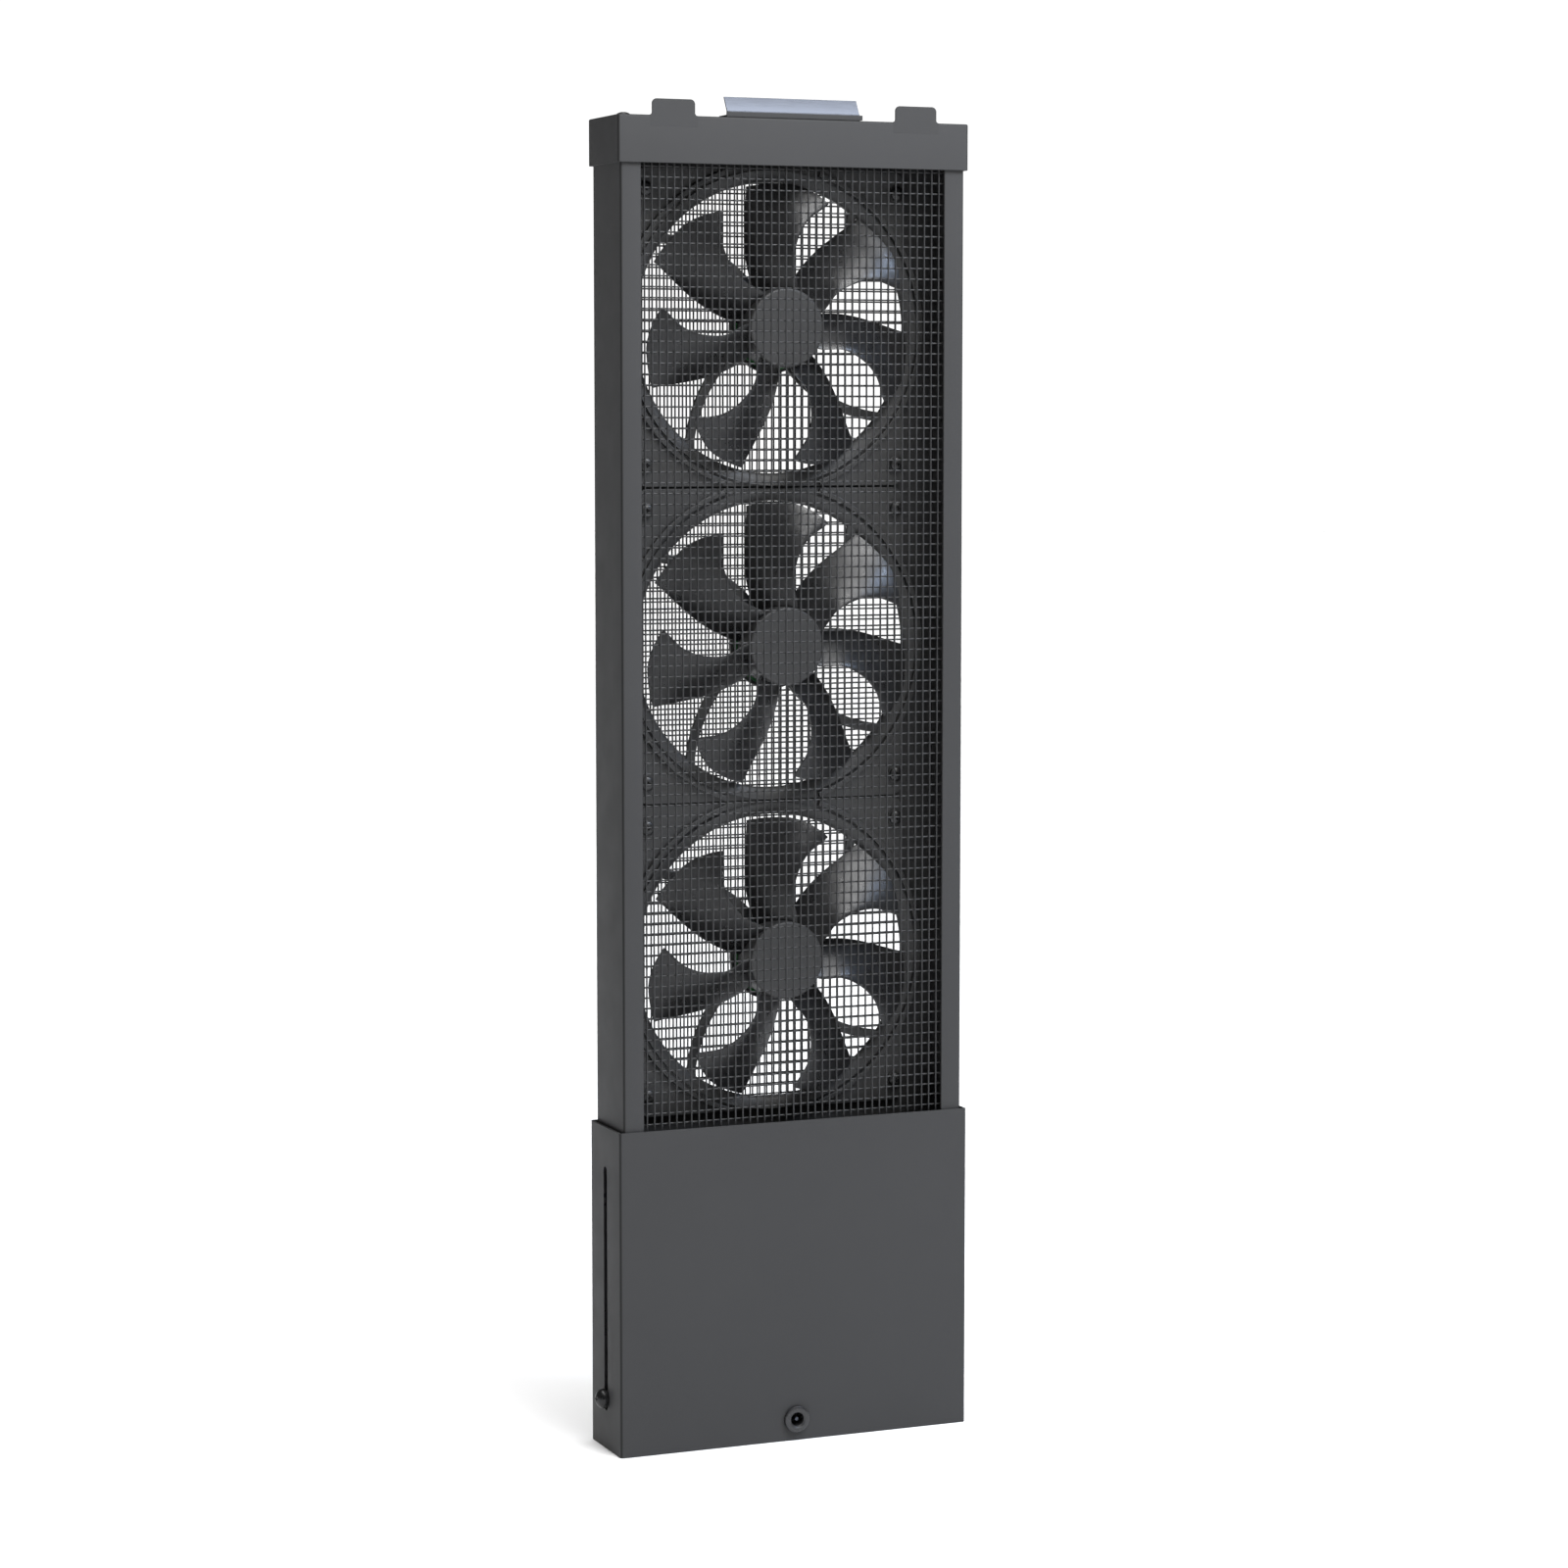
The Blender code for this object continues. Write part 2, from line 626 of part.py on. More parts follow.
def board_mesh():
    outline = circle((0, 0), MOTOR_RADIUS - 4 * GAP, SMALL_FACETS)
    bore = circle((0, 0), BEARING_TUBE_RADIUS + GAP, SMALL_FACETS)
    board = prism("motor_board", outline, [bore], BOARD_THICK)
    return moved(board, upright_plane(MOTOR_FRONT - GAP - BOARD_THICK))


def fan_screw_mesh():
    """Screw through a corner of the flange and the fan plate, with its head in front."""
    length = EAR_THICK + GAP + SHEET
    screw = pan_screw("fan_screw", FAN_SCREW_HEAD_RADIUS, FAN_SCREW_HEAD_HEIGHT,
                      FAN_SCREW_RADIUS, length + RUNNING_FIT, facets=HOLE_FACETS)
    return moved(screw, Matrix.Rotation(math.pi / 2, 4, "X"))


def add_fans(frame, finishes):
    meshes = {
        "housing": (fan_housing_mesh(), "fan_plastic"),
        "impeller": (impeller_mesh(), "fan_plastic"),
        "rotor_magnet": (magnet_mesh(), "magnet"),
        "shaft": (shaft_mesh(), "steel"),
        "bearing": (bearing_mesh(), "bronze"),
        "stator": (stator_mesh(), "copper"),
        "motor_board": (board_mesh(), "board"),
    }
    screw = fan_screw_mesh()
    screw_y = FAN_DEPTH - EAR_THICK - RUNNING_FIT
    for name, height in zip(FAN_NAMES, FAN_HEIGHTS):
        axis = add_empty(name + "_axis", (0, FAN_FRONT, height), frame)
        for piece, (mesh, finish) in meshes.items():
            add_object(f"{name}_{piece}", mesh, finishes[finish], parent=axis)
        for i, (x, z) in enumerate(ear_screw_places()):
            add_object(f"{name}_screw_{i + 1}", screw, finishes["steel"],
                       (x, screw_y, z), parent=axis)


# Sliding frame


def side_channel_mesh(side):
    """Folded side channel of the frame, with the hole for its rivet nut."""
    outline = channel_outline(FLANGE_WIDTH, FRAME_DEPTH, SHEET, BEND)
    if side > 0:
        outline = [(-x, y) for x, y in outline]
    body = prism("channel", outline, [], FRAME_TOP - FRAME_FOOT)
    body = moved(body, Matrix.Translation((side * FRAME_WIDTH / 2, 0, FRAME_FOOT)))
    radius = CLAMP_RADIUS + RUNNING_FIT + RIVET_NUT_WALL + RUNNING_FIT
    length = 6 * SHEET
    hole = prism("hole", circle((0, 0), radius, SMALL_FACETS), [], length)
    hole = moved(hole, Matrix.Translation((side * FRAME_WIDTH / 2 - length / 2, 0, CLAMP_HEIGHT))
                 @ ALONG_X)
    return combine(f"side_channel_{side}", body, [hole], "DIFFERENCE")


def member_mesh(name, height_at, opens_up, holes=()):
    """Cross member: a folded channel between the two side channels."""
    depth = PLATE_Y - GAP - (FRONT_CROSSWIRES_Y + WIRE + GAP)
    middle = (PLATE_Y + FRONT_CROSSWIRES_Y + WIRE) / 2
    outline = channel_outline(MEMBER_HEIGHT, depth, SHEET, BEND)
    bar = prism(name, outline, [], INNER_WIDTH)
    tip = Matrix.Rotation(-math.pi / 2 if opens_up else math.pi / 2, 4, "Y")
    start = INNER_WIDTH / 2 if opens_up else -INNER_WIDTH / 2
    bar = moved(bar, Matrix.Translation((start, middle, height_at)) @ tip)
    if not holes:
        return bar
    return combine(name, bar, holes, "DIFFERENCE")


def cap_screw_hole(x, radius):
    hole = prism("hole", circle((0, 0), radius, SCREW_FACETS), [], 6 * SHEET)
    return moved(hole, Matrix.Translation((x, CAP_SCREW_Y, FRAME_TOP - 2 * SHEET)))


def fan_plate_mesh():
    """Flat plate behind the fans: it carries them and closes the frame round their ducts."""
    low, high = MEMBER_FOOT, FRAME_TOP - GAP
    half = INNER_WIDTH / 2
    outline = [(-half, low), (half, low), (half, high), (-half, high)]
    holes = []
    for height in FAN_HEIGHTS:
        holes.append(circle((0, height), DUCT_RADIUS + LIP_HEIGHT, RING_FACETS))
        for x, z in ear_screw_places():
            holes.append(circle((x, height + z), FAN_SCREW_RADIUS + RUNNING_FIT, HOLE_FACETS))
    return moved(prism("fan_plate", outline, holes, SHEET), upright_plane(PLATE_Y))


def add_guard(side_name, uprights_y, crosswires_y, frame, finish):
    low, high = MEMBER_FOOT, FRAME_TOP - GAP
    height = high - low
    middle = (low + high) / 2
    cross = ladder("crosswires", INNER_WIDTH, height, GUARD_HEM, GUARD_END,
                   CROSSWIRE_PITCH, WIRE)
    hem = (INNER_WIDTH - UPRIGHT_PITCH * round((INNER_WIDTH - 2 * GUARD_HEM) / UPRIGHT_PITCH)) / 2
    uprights = ladder("uprights", height, INNER_WIDTH, CAP_HEIGHT / 2, hem, UPRIGHT_PITCH, WIRE)
    stand = Matrix.Rotation(math.pi / 2, 4, "Z")
    lift = Matrix.Translation((0, 0, middle))
    cross = moved(cross, lift @ upright_plane(crosswires_y))
    uprights = moved(uprights, lift @ upright_plane(uprights_y) @ stand)
    add_object(f"{side_name}_guard_crosswires", cross, finish, parent=frame)
    add_object(f"{side_name}_guard_uprights", uprights, finish, parent=frame)


def tab_mesh(centre):
    """Rounded tab that rises from the cap's front sheet, with fillets at its root."""
    half = TAB_WIDTH / 2
    right = [(half, -TAB_ROOT), (half + TAB_FILLET, -TAB_ROOT), (half + TAB_FILLET, 0)]
    right += arc((half + TAB_FILLET, TAB_FILLET), TAB_FILLET, 1.5 * math.pi, math.pi, 3)[1:]
    right += arc((half - TAB_CORNER, TAB_RISE - TAB_CORNER), TAB_CORNER, 0, 0.5 * math.pi, 4)
    left = [(-x, z) for x, z in right[::-1]]
    outline = [(x + centre, z + CAP_TOP) for x, z in right[1:] + left[:-1]]
    sheet = prism("tab", outline, [], SHEET - 2 * TAB_INSET)
    return moved(sheet, upright_plane(CAP_FRONT + TAB_INSET))


def cap_mesh():
    """Cap over the top of the frame: a folded lid with two tabs on its front edge."""
    lid = prism("lid", rounded_rectangle(CAP_WIDTH, CAP_DEPTH, BEND), [], CAP_HEIGHT)
    lid = moved(lid, Matrix.Translation((0, 0, CAP_SKIRT)))
    inside = prism("inside", rounded_rectangle(CAP_WIDTH - 2 * SHEET, CAP_DEPTH - 2 * SHEET,
                                               BEND - SHEET), [], CAP_HEIGHT)
    inside = moved(inside, Matrix.Translation((0, 0, CAP_SKIRT - SHEET)))
    lid = combine("cap_lid", lid, [inside], "DIFFERENCE")
    lid = combine("cap_tabs", lid, [tab_mesh(-TAB_X), tab_mesh(TAB_X)], "UNION")
    cuts = [cap_screw_hole(sx * CAP_SCREW_X, CAP_SCREW_RADIUS + RUNNING_FIT) for sx in (-1, 1)]
    for sx in (-1, 1):
        hole = prism("hole", circle((0, 0), RIVET_RADIUS + RUNNING_FIT, HOLE_FACETS), [],
                     4 * SHEET)
        place = (sx * RAIL_RIVET_X, rail_rivet_y(), CAP_TOP - 2 * SHEET)
        cuts.append(moved(hole, Matrix.Translation(place)))
    return combine("cap", lid, cuts, "DIFFERENCE")


def rail_rivet_y():
    return CAP_FRONT + RAIL_DEPTH - 2 * RIVET_RADIUS


def rail_mesh():
    """Low dark rail on the cap that holds the root of the sprung strip."""
    front = CAP_FRONT + STRIP_SETBACK - STRIP_BEAD - GAP - RAIL_THICK
    outline = [
        (front, 0),
        (CAP_FRONT + RAIL_DEPTH, 0),
        (CAP_FRONT + RAIL_DEPTH, RAIL_THICK),
        (front + RAIL_THICK, RAIL_THICK),
        (front + RAIL_THICK, RAIL_LIP),
        (front, RAIL_LIP),
    ]
    length = STRIP_LENGTH + 2 * RAIL_THICK
    rail = prism("rail", outline, [], length)
    stand = Matrix(((0, 0, 1, 0), (1, 0, 0, 0), (0, 1, 0, 0), (0, 0, 0, 1)))
    rail = moved(rail, Matrix.Translation((-length / 2, 0, CAP_TOP + GAP)) @ stand)
    cuts = []
    for sx in (-1, 1):
        hole = prism("hole", circle((0, 0), RIVET_RADIUS + RUNNING_FIT, HOLE_FACETS), [],
                     4 * SHEET)
        place = (sx * RAIL_RIVET_X, rail_rivet_y(), CAP_TOP - SHEET)
        cuts.append(moved(hole, Matrix.Translation(place)))
    return combine("strip_rail", rail, cuts, "DIFFERENCE")


def strip_mesh():
    """Sprung strip drawn about its root: a bead, and a blade that leans back from it."""
    blade_length = STRIP_RISE / math.cos(STRIP_LEAN)
    half = STRIP_THICK / 2
    edge = math.asin(half / STRIP_BEAD)
    outline = arc((0, 0), STRIP_BEAD, 0.5 * math.pi + edge, 2.5 * math.pi - edge, 10)
    outline += [(half, blade_length - half), (0, blade_length), (-half, blade_length - half)]
    strip = prism("spring_strip", outline, [], STRIP_LENGTH)
    stand = Matrix(((0, 0, 1, 0), (1, 0, 0, 0), (0, 1, 0, 0), (0, 0, 0, 1)))
    place = Matrix.Translation((-STRIP_LENGTH / 2, 0, 0))
    return moved(strip, Matrix.Rotation(-STRIP_LEAN, 4, "X") @ place @ stand)


def strip_root():
    return (0, CAP_FRONT + STRIP_SETBACK, CAP_TOP + GAP + RAIL_THICK + GAP + STRIP_BEAD)


def add_cap(frame, finishes):
    add_object("top_cap", cap_mesh(), finishes["powder_coat"], parent=frame)
    add_object("strip_rail", rail_mesh(), finishes["powder_coat"], parent=frame)
    add_object("spring_strip", strip_mesh(), finishes["silver"], strip_root(), parent=frame)
    length = CAP_TOP + GAP - (FRAME_TOP - SHEET) + SHEET
    cap_screw = pan_screw("cap_screw", CAP_SCREW_HEAD_RADIUS, CAP_SCREW_HEAD_HEIGHT,
                          CAP_SCREW_RADIUS, length)
    rivet = pan_screw("rivet", RIVET_RADIUS * 1.9, RIVET_RADIUS * 0.9, RIVET_RADIUS,
                      RAIL_THICK + 2 * GAP + SHEET, facets=HOLE_FACETS)
    for name, sx in (("left", -1), ("right", 1)):
        add_object(f"{name}_cap_screw", cap_screw, finishes["black_screw"],
                   (sx * CAP_SCREW_X, CAP_SCREW_Y, CAP_TOP + GAP), parent=frame)
        add_object(f"{name}_rail_rivet", rivet, finishes["steel"],
                   (sx * RAIL_RIVET_X, rail_rivet_y(), CAP_TOP + 2 * GAP + RAIL_THICK),
                   parent=frame)


def rivet_nut_mesh():
    """Blind rivet nut in a side channel's web, drawn along local Z with its flange at zero."""
    bore = CLAMP_RADIUS + RUNNING_FIT
    barrel = bore + RIVET_NUT_WALL
    flange = barrel + RIVET_NUT_WALL
    profile = [(bore, RIVET_NUT_FLANGE), (bore, -RIVET_NUT_LENGTH), (barrel, -RIVET_NUT_LENGTH),
               (barrel, 0), (flange, 0), (flange, RIVET_NUT_FLANGE)]
    return turned("rivet_nut", profile, SMALL_FACETS)


def add_clamps(frame, finishes):
    """Clamp screws through the sleeve's slots, and the rivet nuts that they turn in."""
    head = CLAMP_RIM + CLAMP_DOME
    reach = CLAMP_REACH + SIDE_PLAY + SHEET
    screw = pan_screw("clamp_screw", CLAMP_HEAD_RADIUS, head, CLAMP_RADIUS, reach,
                      dome=CLAMP_DOME, facets=SMALL_FACETS)
    nut = rivet_nut_mesh()
    for name, sx in (("left", -1), ("right", 1)):
        rotation = (0, sx * math.pi / 2, 0)
        add_object(f"{name}_clamp_screw", screw, finishes["black_screw"],
                   (sx * (SLEEVE_WIDTH / 2 + GAP), 0, CLAMP_HEIGHT), rotation, frame)
        add_object(f"{name}_rivet_nut", nut, finishes["steel"],
                   (sx * (FRAME_WIDTH / 2 + GAP), 0, CLAMP_HEIGHT), rotation, frame)


def add_frame(finishes):
    frame = add_empty("fan_frame", (0, 0, 0))
    coat = finishes["powder_coat"]
    add_object("left_side_channel", side_channel_mesh(-1), coat, parent=frame)
    add_object("right_side_channel", side_channel_mesh(1), coat, parent=frame)
    add_object("bottom_member", member_mesh("bottom_member", MEMBER_FOOT, True), coat,
               parent=frame)
    holes = [cap_screw_hole(sx * CAP_SCREW_X, CAP_SCREW_RADIUS + RUNNING_FIT) for sx in (-1, 1)]
    add_object("top_member", member_mesh("top_member", FRAME_TOP, False, holes), coat,
               parent=frame)
    add_object("fan_plate", fan_plate_mesh(), coat, parent=frame)
    add_guard("front", FRONT_UPRIGHTS_Y, FRONT_CROSSWIRES_Y, frame, finishes["guard"])
    add_guard("rear", REAR_UPRIGHTS_Y, REAR_CROSSWIRES_Y, frame, finishes["guard"])
    add_fans(frame, finishes)
    add_cap(frame, finishes)
    add_clamps(frame, finishes)


# Lower sleeve


def slot_cutter():
    """Long slot for the clamp screws, cut through both side walls at once."""
    height = SLOT_TOP - SLOT_BOTTOM
    outline = rounded_rectangle(height, SLOT_WIDTH, SLOT_WIDTH / 2 - 1e-5, 4)
    length = SLEEVE_WIDTH + 2 * SHEET
    cutter = prism("slot", outline, [], length)
    place = Matrix.Translation((-length / 2, 0, (SLOT_TOP + SLOT_BOTTOM) / 2))
    return moved(cutter, place @ ALONG_X)


def sleeve_mesh():
    """Sleeve folded from one sheet, with a slot in each side and the socket's hole in front."""
    outline = rounded_rectangle(SLEEVE_WIDTH, SLEEVE_DEPTH, BEND)
    inside = rounded_rectangle(SLEEVE_WIDTH - 2 * SHEET, SLEEVE_DEPTH - 2 * SHEET, BEND - SHEET)
    tube = prism("sleeve", outline, [inside], SLEEVE_HEIGHT)
    hole = prism("hole", circle((0, 0), SOCKET_BARREL_RADIUS + GAP, SMALL_FACETS), [], 4 * SHEET)
    hole = moved(hole, Matrix.Translation((0, SLEEVE_FRONT - 2 * SHEET, SOCKET_HEIGHT)) @ ALONG_Y)
    return combine("sleeve_shell", tube, [slot_cutter(), hole], "DIFFERENCE")


def foot_mesh():
    """Foot plate that closes the sleeve, with a turned-up flange at each side."""
    width = SLEEVE_WIDTH - 2 * (SHEET + GAP)
    depth = SLEEVE_DEPTH - 2 * (SHEET + GAP)
    outline = channel_outline(FOOT_FLANGE, width, SHEET, BEND)
    pan = prism("sleeve_foot", outline, [], depth)
    stand = Matrix(((0, 1, 0, 0), (0, 0, 1, 0), (1, 0, 0, 0), (0, 0, 0, 1)))
    return moved(pan, Matrix.Translation((0, -depth / 2, 0)) @ stand)


def socket_mesh():
    """Panel socket for a round low-voltage plug, drawn along Y from the sleeve's front face."""
    front = -GAP - SOCKET_FLANGE_THICK
    profile = [
        (SOCKET_PIN_RADIUS + RUNNING_FIT, SOCKET_LENGTH),
        (SOCKET_BARREL_RADIUS, SOCKET_LENGTH),
        (SOCKET_BARREL_RADIUS, -GAP),
        (SOCKET_FLANGE_RADIUS, -GAP),
        (SOCKET_FLANGE_RADIUS, front + SOCKET_FLANGE_THICK / 3),
        (SOCKET_FLANGE_RADIUS - SOCKET_FLANGE_THICK / 3, front),
        (SOCKET_BORE_RADIUS, front),
        (SOCKET_BORE_RADIUS, front + SOCKET_BORE_DEPTH),
        (SOCKET_PIN_RADIUS + RUNNING_FIT, front + SOCKET_BORE_DEPTH),
    ]
    return moved(turned("socket_body", profile, SMALL_FACETS), ALONG_Y)


def socket_pin_mesh():
    front = -GAP - SOCKET_FLANGE_THICK + SHEET
    profile = [(0, front), (SOCKET_PIN_RADIUS * 0.7, front),
               (SOCKET_PIN_RADIUS, front + SOCKET_PIN_RADIUS * 0.5),
               (SOCKET_PIN_RADIUS, SOCKET_LENGTH), (0, SOCKET_LENGTH)]
    return moved(turned("socket_pin", profile, SCREW_FACETS), ALONG_Y)


def socket_nut_mesh():
    hexagon = circle((0, 0), SOCKET_NUT_RADIUS, 6)
    bore = circle((0, 0), SOCKET_BARREL_RADIUS + RUNNING_FIT, SMALL_FACETS)
    nut = prism("socket_nut", hexagon, [bore], SOCKET_NUT_THICK)
    return moved(nut, upright_plane(SHEET + GAP))


def add_sleeve(finishes):
    add_object("sleeve_shell", sleeve_mesh(), finishes["powder_coat"])
    add_object("sleeve_foot", foot_mesh(), finishes["powder_coat"])
    place = (0, SLEEVE_FRONT, SOCKET_HEIGHT)
    add_object("socket_body", socket_mesh(), finishes["socket"], place)
    add_object("socket_pin", socket_pin_mesh(), finishes["silver"], place)
    add_object("socket_nut", socket_nut_mesh(), finishes["steel"], place)


def make_finishes():
    return {
        "powder_coat": make_material("powder_coat", (0.105, 0.107, 0.110), 0.48, 0.1),
        "guard": make_material("guard", (0.030, 0.030, 0.031), 0.50, 0.2),
        "fan_plastic": make_material("fan_plastic", (0.022, 0.022, 0.023), 0.55, 0.0),
        "silver": make_material("silver", (0.62, 0.64, 0.70), 0.35, 0.8),
        "black_screw": make_material("black_screw", (0.012, 0.012, 0.012), 0.35, 0.4),
        "steel": make_material("steel", (0.55, 0.55, 0.54), 0.35, 1.0),
        "bronze": make_material("bronze", (0.45, 0.28, 0.12), 0.40, 1.0),
        "copper": make_material("copper", (0.50, 0.22, 0.10), 0.45, 0.8),
        "magnet": make_material("magnet", (0.05, 0.05, 0.05), 0.60, 0.3),
        "board": make_material("board", (0.03, 0.12, 0.05), 0.60, 0.0),
        "socket": make_material("socket", (0.012, 0.012, 0.013), 0.35, 0.0),
    }


def main():
    clear_scene()
    finishes = make_finishes()
    add_sleeve(finishes)
    add_frame(finishes)


main()
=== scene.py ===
"""Looks of the extendable exhaust fan: finer shapes, finishes, studio and camera.

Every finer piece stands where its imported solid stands. Metres, +Z up, front towards -Y.
"""
import json
import math

import bmesh
import bpy
from mathutils import Matrix, Vector

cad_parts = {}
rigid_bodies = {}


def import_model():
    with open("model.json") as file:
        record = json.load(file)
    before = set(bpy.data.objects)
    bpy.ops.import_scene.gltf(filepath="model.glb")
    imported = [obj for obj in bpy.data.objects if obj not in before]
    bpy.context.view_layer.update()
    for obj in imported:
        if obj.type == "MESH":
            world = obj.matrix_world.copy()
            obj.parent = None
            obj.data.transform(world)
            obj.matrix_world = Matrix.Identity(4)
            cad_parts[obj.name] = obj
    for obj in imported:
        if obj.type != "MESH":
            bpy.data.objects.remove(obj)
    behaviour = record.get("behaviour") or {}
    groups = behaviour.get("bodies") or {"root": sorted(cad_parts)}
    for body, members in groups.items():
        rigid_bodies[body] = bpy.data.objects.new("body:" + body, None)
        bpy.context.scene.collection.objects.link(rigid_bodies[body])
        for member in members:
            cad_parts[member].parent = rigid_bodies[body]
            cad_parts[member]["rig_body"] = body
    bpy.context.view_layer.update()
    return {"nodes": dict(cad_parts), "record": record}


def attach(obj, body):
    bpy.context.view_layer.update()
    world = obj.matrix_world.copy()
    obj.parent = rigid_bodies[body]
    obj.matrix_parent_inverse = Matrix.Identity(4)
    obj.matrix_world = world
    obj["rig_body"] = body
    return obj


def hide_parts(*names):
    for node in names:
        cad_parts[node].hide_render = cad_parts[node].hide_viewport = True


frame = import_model()
NODES = frame["nodes"]
SLOT_OF = {entry["node"]: entry["material_slot"] for entry in frame["record"]["subparts"]}

# Sheet metal, wire and fits, as in the solids
SHEET = 0.0010
BEND = 0.0014
GAP = 0.0003
WIRE = 0.0008

# One fan
DUCT_RADIUS = 0.0680
DUCT_WALL = 0.0020
LIP_WIDTH = 0.0014
LIP_HEIGHT = 0.0006
FAN_DEPTH = 0.0250
RIM_RADIUS = 0.0755
RIM_WIDTH = 0.0024
FLANGE_SETBACK = 0.0014
EAR_WIDTH = 0.1320
EAR_HEIGHT = 0.1440
EAR_THICK = 0.0045
EAR_CORNER = 0.0050
EAR_SCREW_X = 0.06225
EAR_SCREW_Z = 0.06225
SCREW_HOLE_RADIUS = 0.0019
BOSS_RADIUS = 0.0037
STRUT_COUNT = 4
STRUT_WIDTH = 0.0050
STRUT_OUTER_ANGLE = math.radians(54)
STRUT_SWEEP = math.radians(26)
MOTOR_RADIUS = 0.0205
MOTOR_BASE_THICK = 0.0034
HUB_RADIUS = 0.01805
HUB_SETBACK = 0.0031
HUB_EDGE = 0.0012
BLADE_COUNT = 7
BLADE_CLEARANCE = 0.0025
BLADE_CORNER_CUT = 0.0053
TIP_GAP = 0.0007
FAN_ROOM = 0.0030
FAN_HEIGHTS = {"bottom_fan": 0.2230, "middle_fan": 0.3680, "top_fan": 0.5130}

# Frame, cap and sleeve
FLANGE_WIDTH = 0.0100
MEMBER_HEIGHT = 0.0100
FRAME_WIDTH = 0.1680
FRAME_DEPTH = 0.0360
FRAME_FOOT = 0.0125
FRAME_TOP = 0.6047
MEMBER_FOOT = 0.0300
SLEEVE_WIDTH = 0.1730
SLEEVE_DEPTH = 0.0390
SLEEVE_HEIGHT = 0.1500
SLOT_BOTTOM = 0.0180
SLOT_TOP = 0.1316
SLOT_WIDTH = 0.0043
CAP_WIDTH = 0.1710
CAP_DEPTH = 0.0390
CAP_SKIRT = 0.5850
CAP_TOP = 0.6060
TAB_CENTRE = 0.0590
TAB_WIDTH = 0.0204
TAB_RISE = 0.0072
TAB_CORNER = 0.0022
TAB_FILLET = 0.0012
TAB_ROOT = 0.0050
TAB_PROUD = 0.00002
CAP_FOLD = 0.0008
RAIL_THICK = 0.0008
RAIL_LIP = 0.0022
RAIL_REACH = 0.0110
UPRIGHT_PITCH = 0.0036
CROSSWIRE_PITCH = 0.00485
GUARD_HEM = 0.0075
GUARD_END = 0.0060
UPRIGHT_END = 0.0002
FOOT_LEG = 0.0060
SOCKET_HEIGHT = 0.0102
SOCKET_HOLE_RADIUS = 0.0042
SOCKET_FLANGE = 0.0016
CLAMP_HEIGHT = 0.0237
CAP_SCREW_X = 0.0720
CAP_SCREW_Y = 0.0100
CAP_SCREW_TURN = 0.4
RAIL_RIVET_X = 0.0250
RAIL_RIVET_SETBACK = 0.0024
STRIP_LENGTH = 0.0646
STRIP_RISE = 0.0072
STRIP_THICK = 0.0007
STRIP_BEAD = 0.0008
STRIP_LEAN = math.radians(30)
STRIP_SETBACK = 0.0033

# Sizes that follow from the ones above
LIP_RADIUS = DUCT_RADIUS + DUCT_WALL + LIP_WIDTH
RING_FRONT = FAN_DEPTH - EAR_THICK
INNER_WIDTH = FRAME_WIDTH - 2 * (SHEET + GAP)
FRAME_FRONT = -FRAME_DEPTH / 2
FRONT_UPRIGHTS_Y = FRAME_FRONT + SHEET + GAP
FRONT_CROSSWIRES_Y = FRONT_UPRIGHTS_Y + WIRE + GAP
FAN_FRONT = FRONT_CROSSWIRES_Y + WIRE + FAN_ROOM
PLATE_Y = FAN_FRONT + FAN_DEPTH + GAP
REAR_CROSSWIRES_Y = PLATE_Y + SHEET + GAP
REAR_UPRIGHTS_Y = REAR_CROSSWIRES_Y + WIRE + GAP
SLEEVE_FRONT = -SLEEVE_DEPTH / 2
CAP_FRONT = -CAP_DEPTH / 2
RAIL_REAR = CAP_FRONT + RAIL_REACH
RAIL_TOP = CAP_TOP + 2 * GAP + RAIL_THICK
MOTOR_FRONT = FAN_DEPTH - MOTOR_BASE_THICK
BLADE_TIP = DUCT_RADIUS - BLADE_CLEARANCE

# Fineness of the shapes
EDGE = 0.00014
RING_FACETS = 144
HUB_FACETS = 96
SMALL_FACETS = 48
FINE_FACETS = 24
WIRE_FACETS = 8
MITRE_LIMIT = 0.4
RECESS_TAPER = 0.45
SCREW_SHARP = 35


# Shapes


def arc(centre, radius, start, end, steps):
    points = []
    for i in range(steps + 1):
        angle = start + (end - start) * i / steps
        points.append((centre[0] + radius * math.cos(angle), centre[1] + radius * math.sin(angle)))
    return points


def circle(centre, radius, facets):
    return arc(centre, radius, 0, 2 * math.pi * (facets - 1) / facets, facets - 1)


def rounded_rectangle(width, height, radius, steps=6):
    points = []
    for quarter, (sx, sy) in enumerate(((1, 1), (-1, 1), (-1, -1), (1, -1))):
        centre = (sx * (width / 2 - radius), sy * (height / 2 - radius))
        start = quarter * math.pi / 2
        points += arc(centre, radius, start, start + math.pi / 2, steps)
    return points


def signed_area(loop):
    total = 0.0
    for (ax, ay), (bx, by) in zip(loop, loop[1:] + loop[:1]):
        total += ax * by - bx * ay
    return total / 2


def inset(loop, amount):
    """Moves each corner of a closed loop to its left by an amount."""
    moved_points = []
    count = len(loop)
    for i, (x, y) in enumerate(loop):
        before = Vector((x - loop[i - 1][0], y - loop[i - 1][1])).normalized()
        after = Vector((loop[(i + 1) % count][0] - x, loop[(i + 1) % count][1] - y)).normalized()
        side = Vector((-before.y - after.y, before.x + after.x))
        side /= max(1 + before.dot(after), MITRE_LIMIT)
        moved_points.append((x + side.x * amount, y + side.y * amount))
    return moved_points


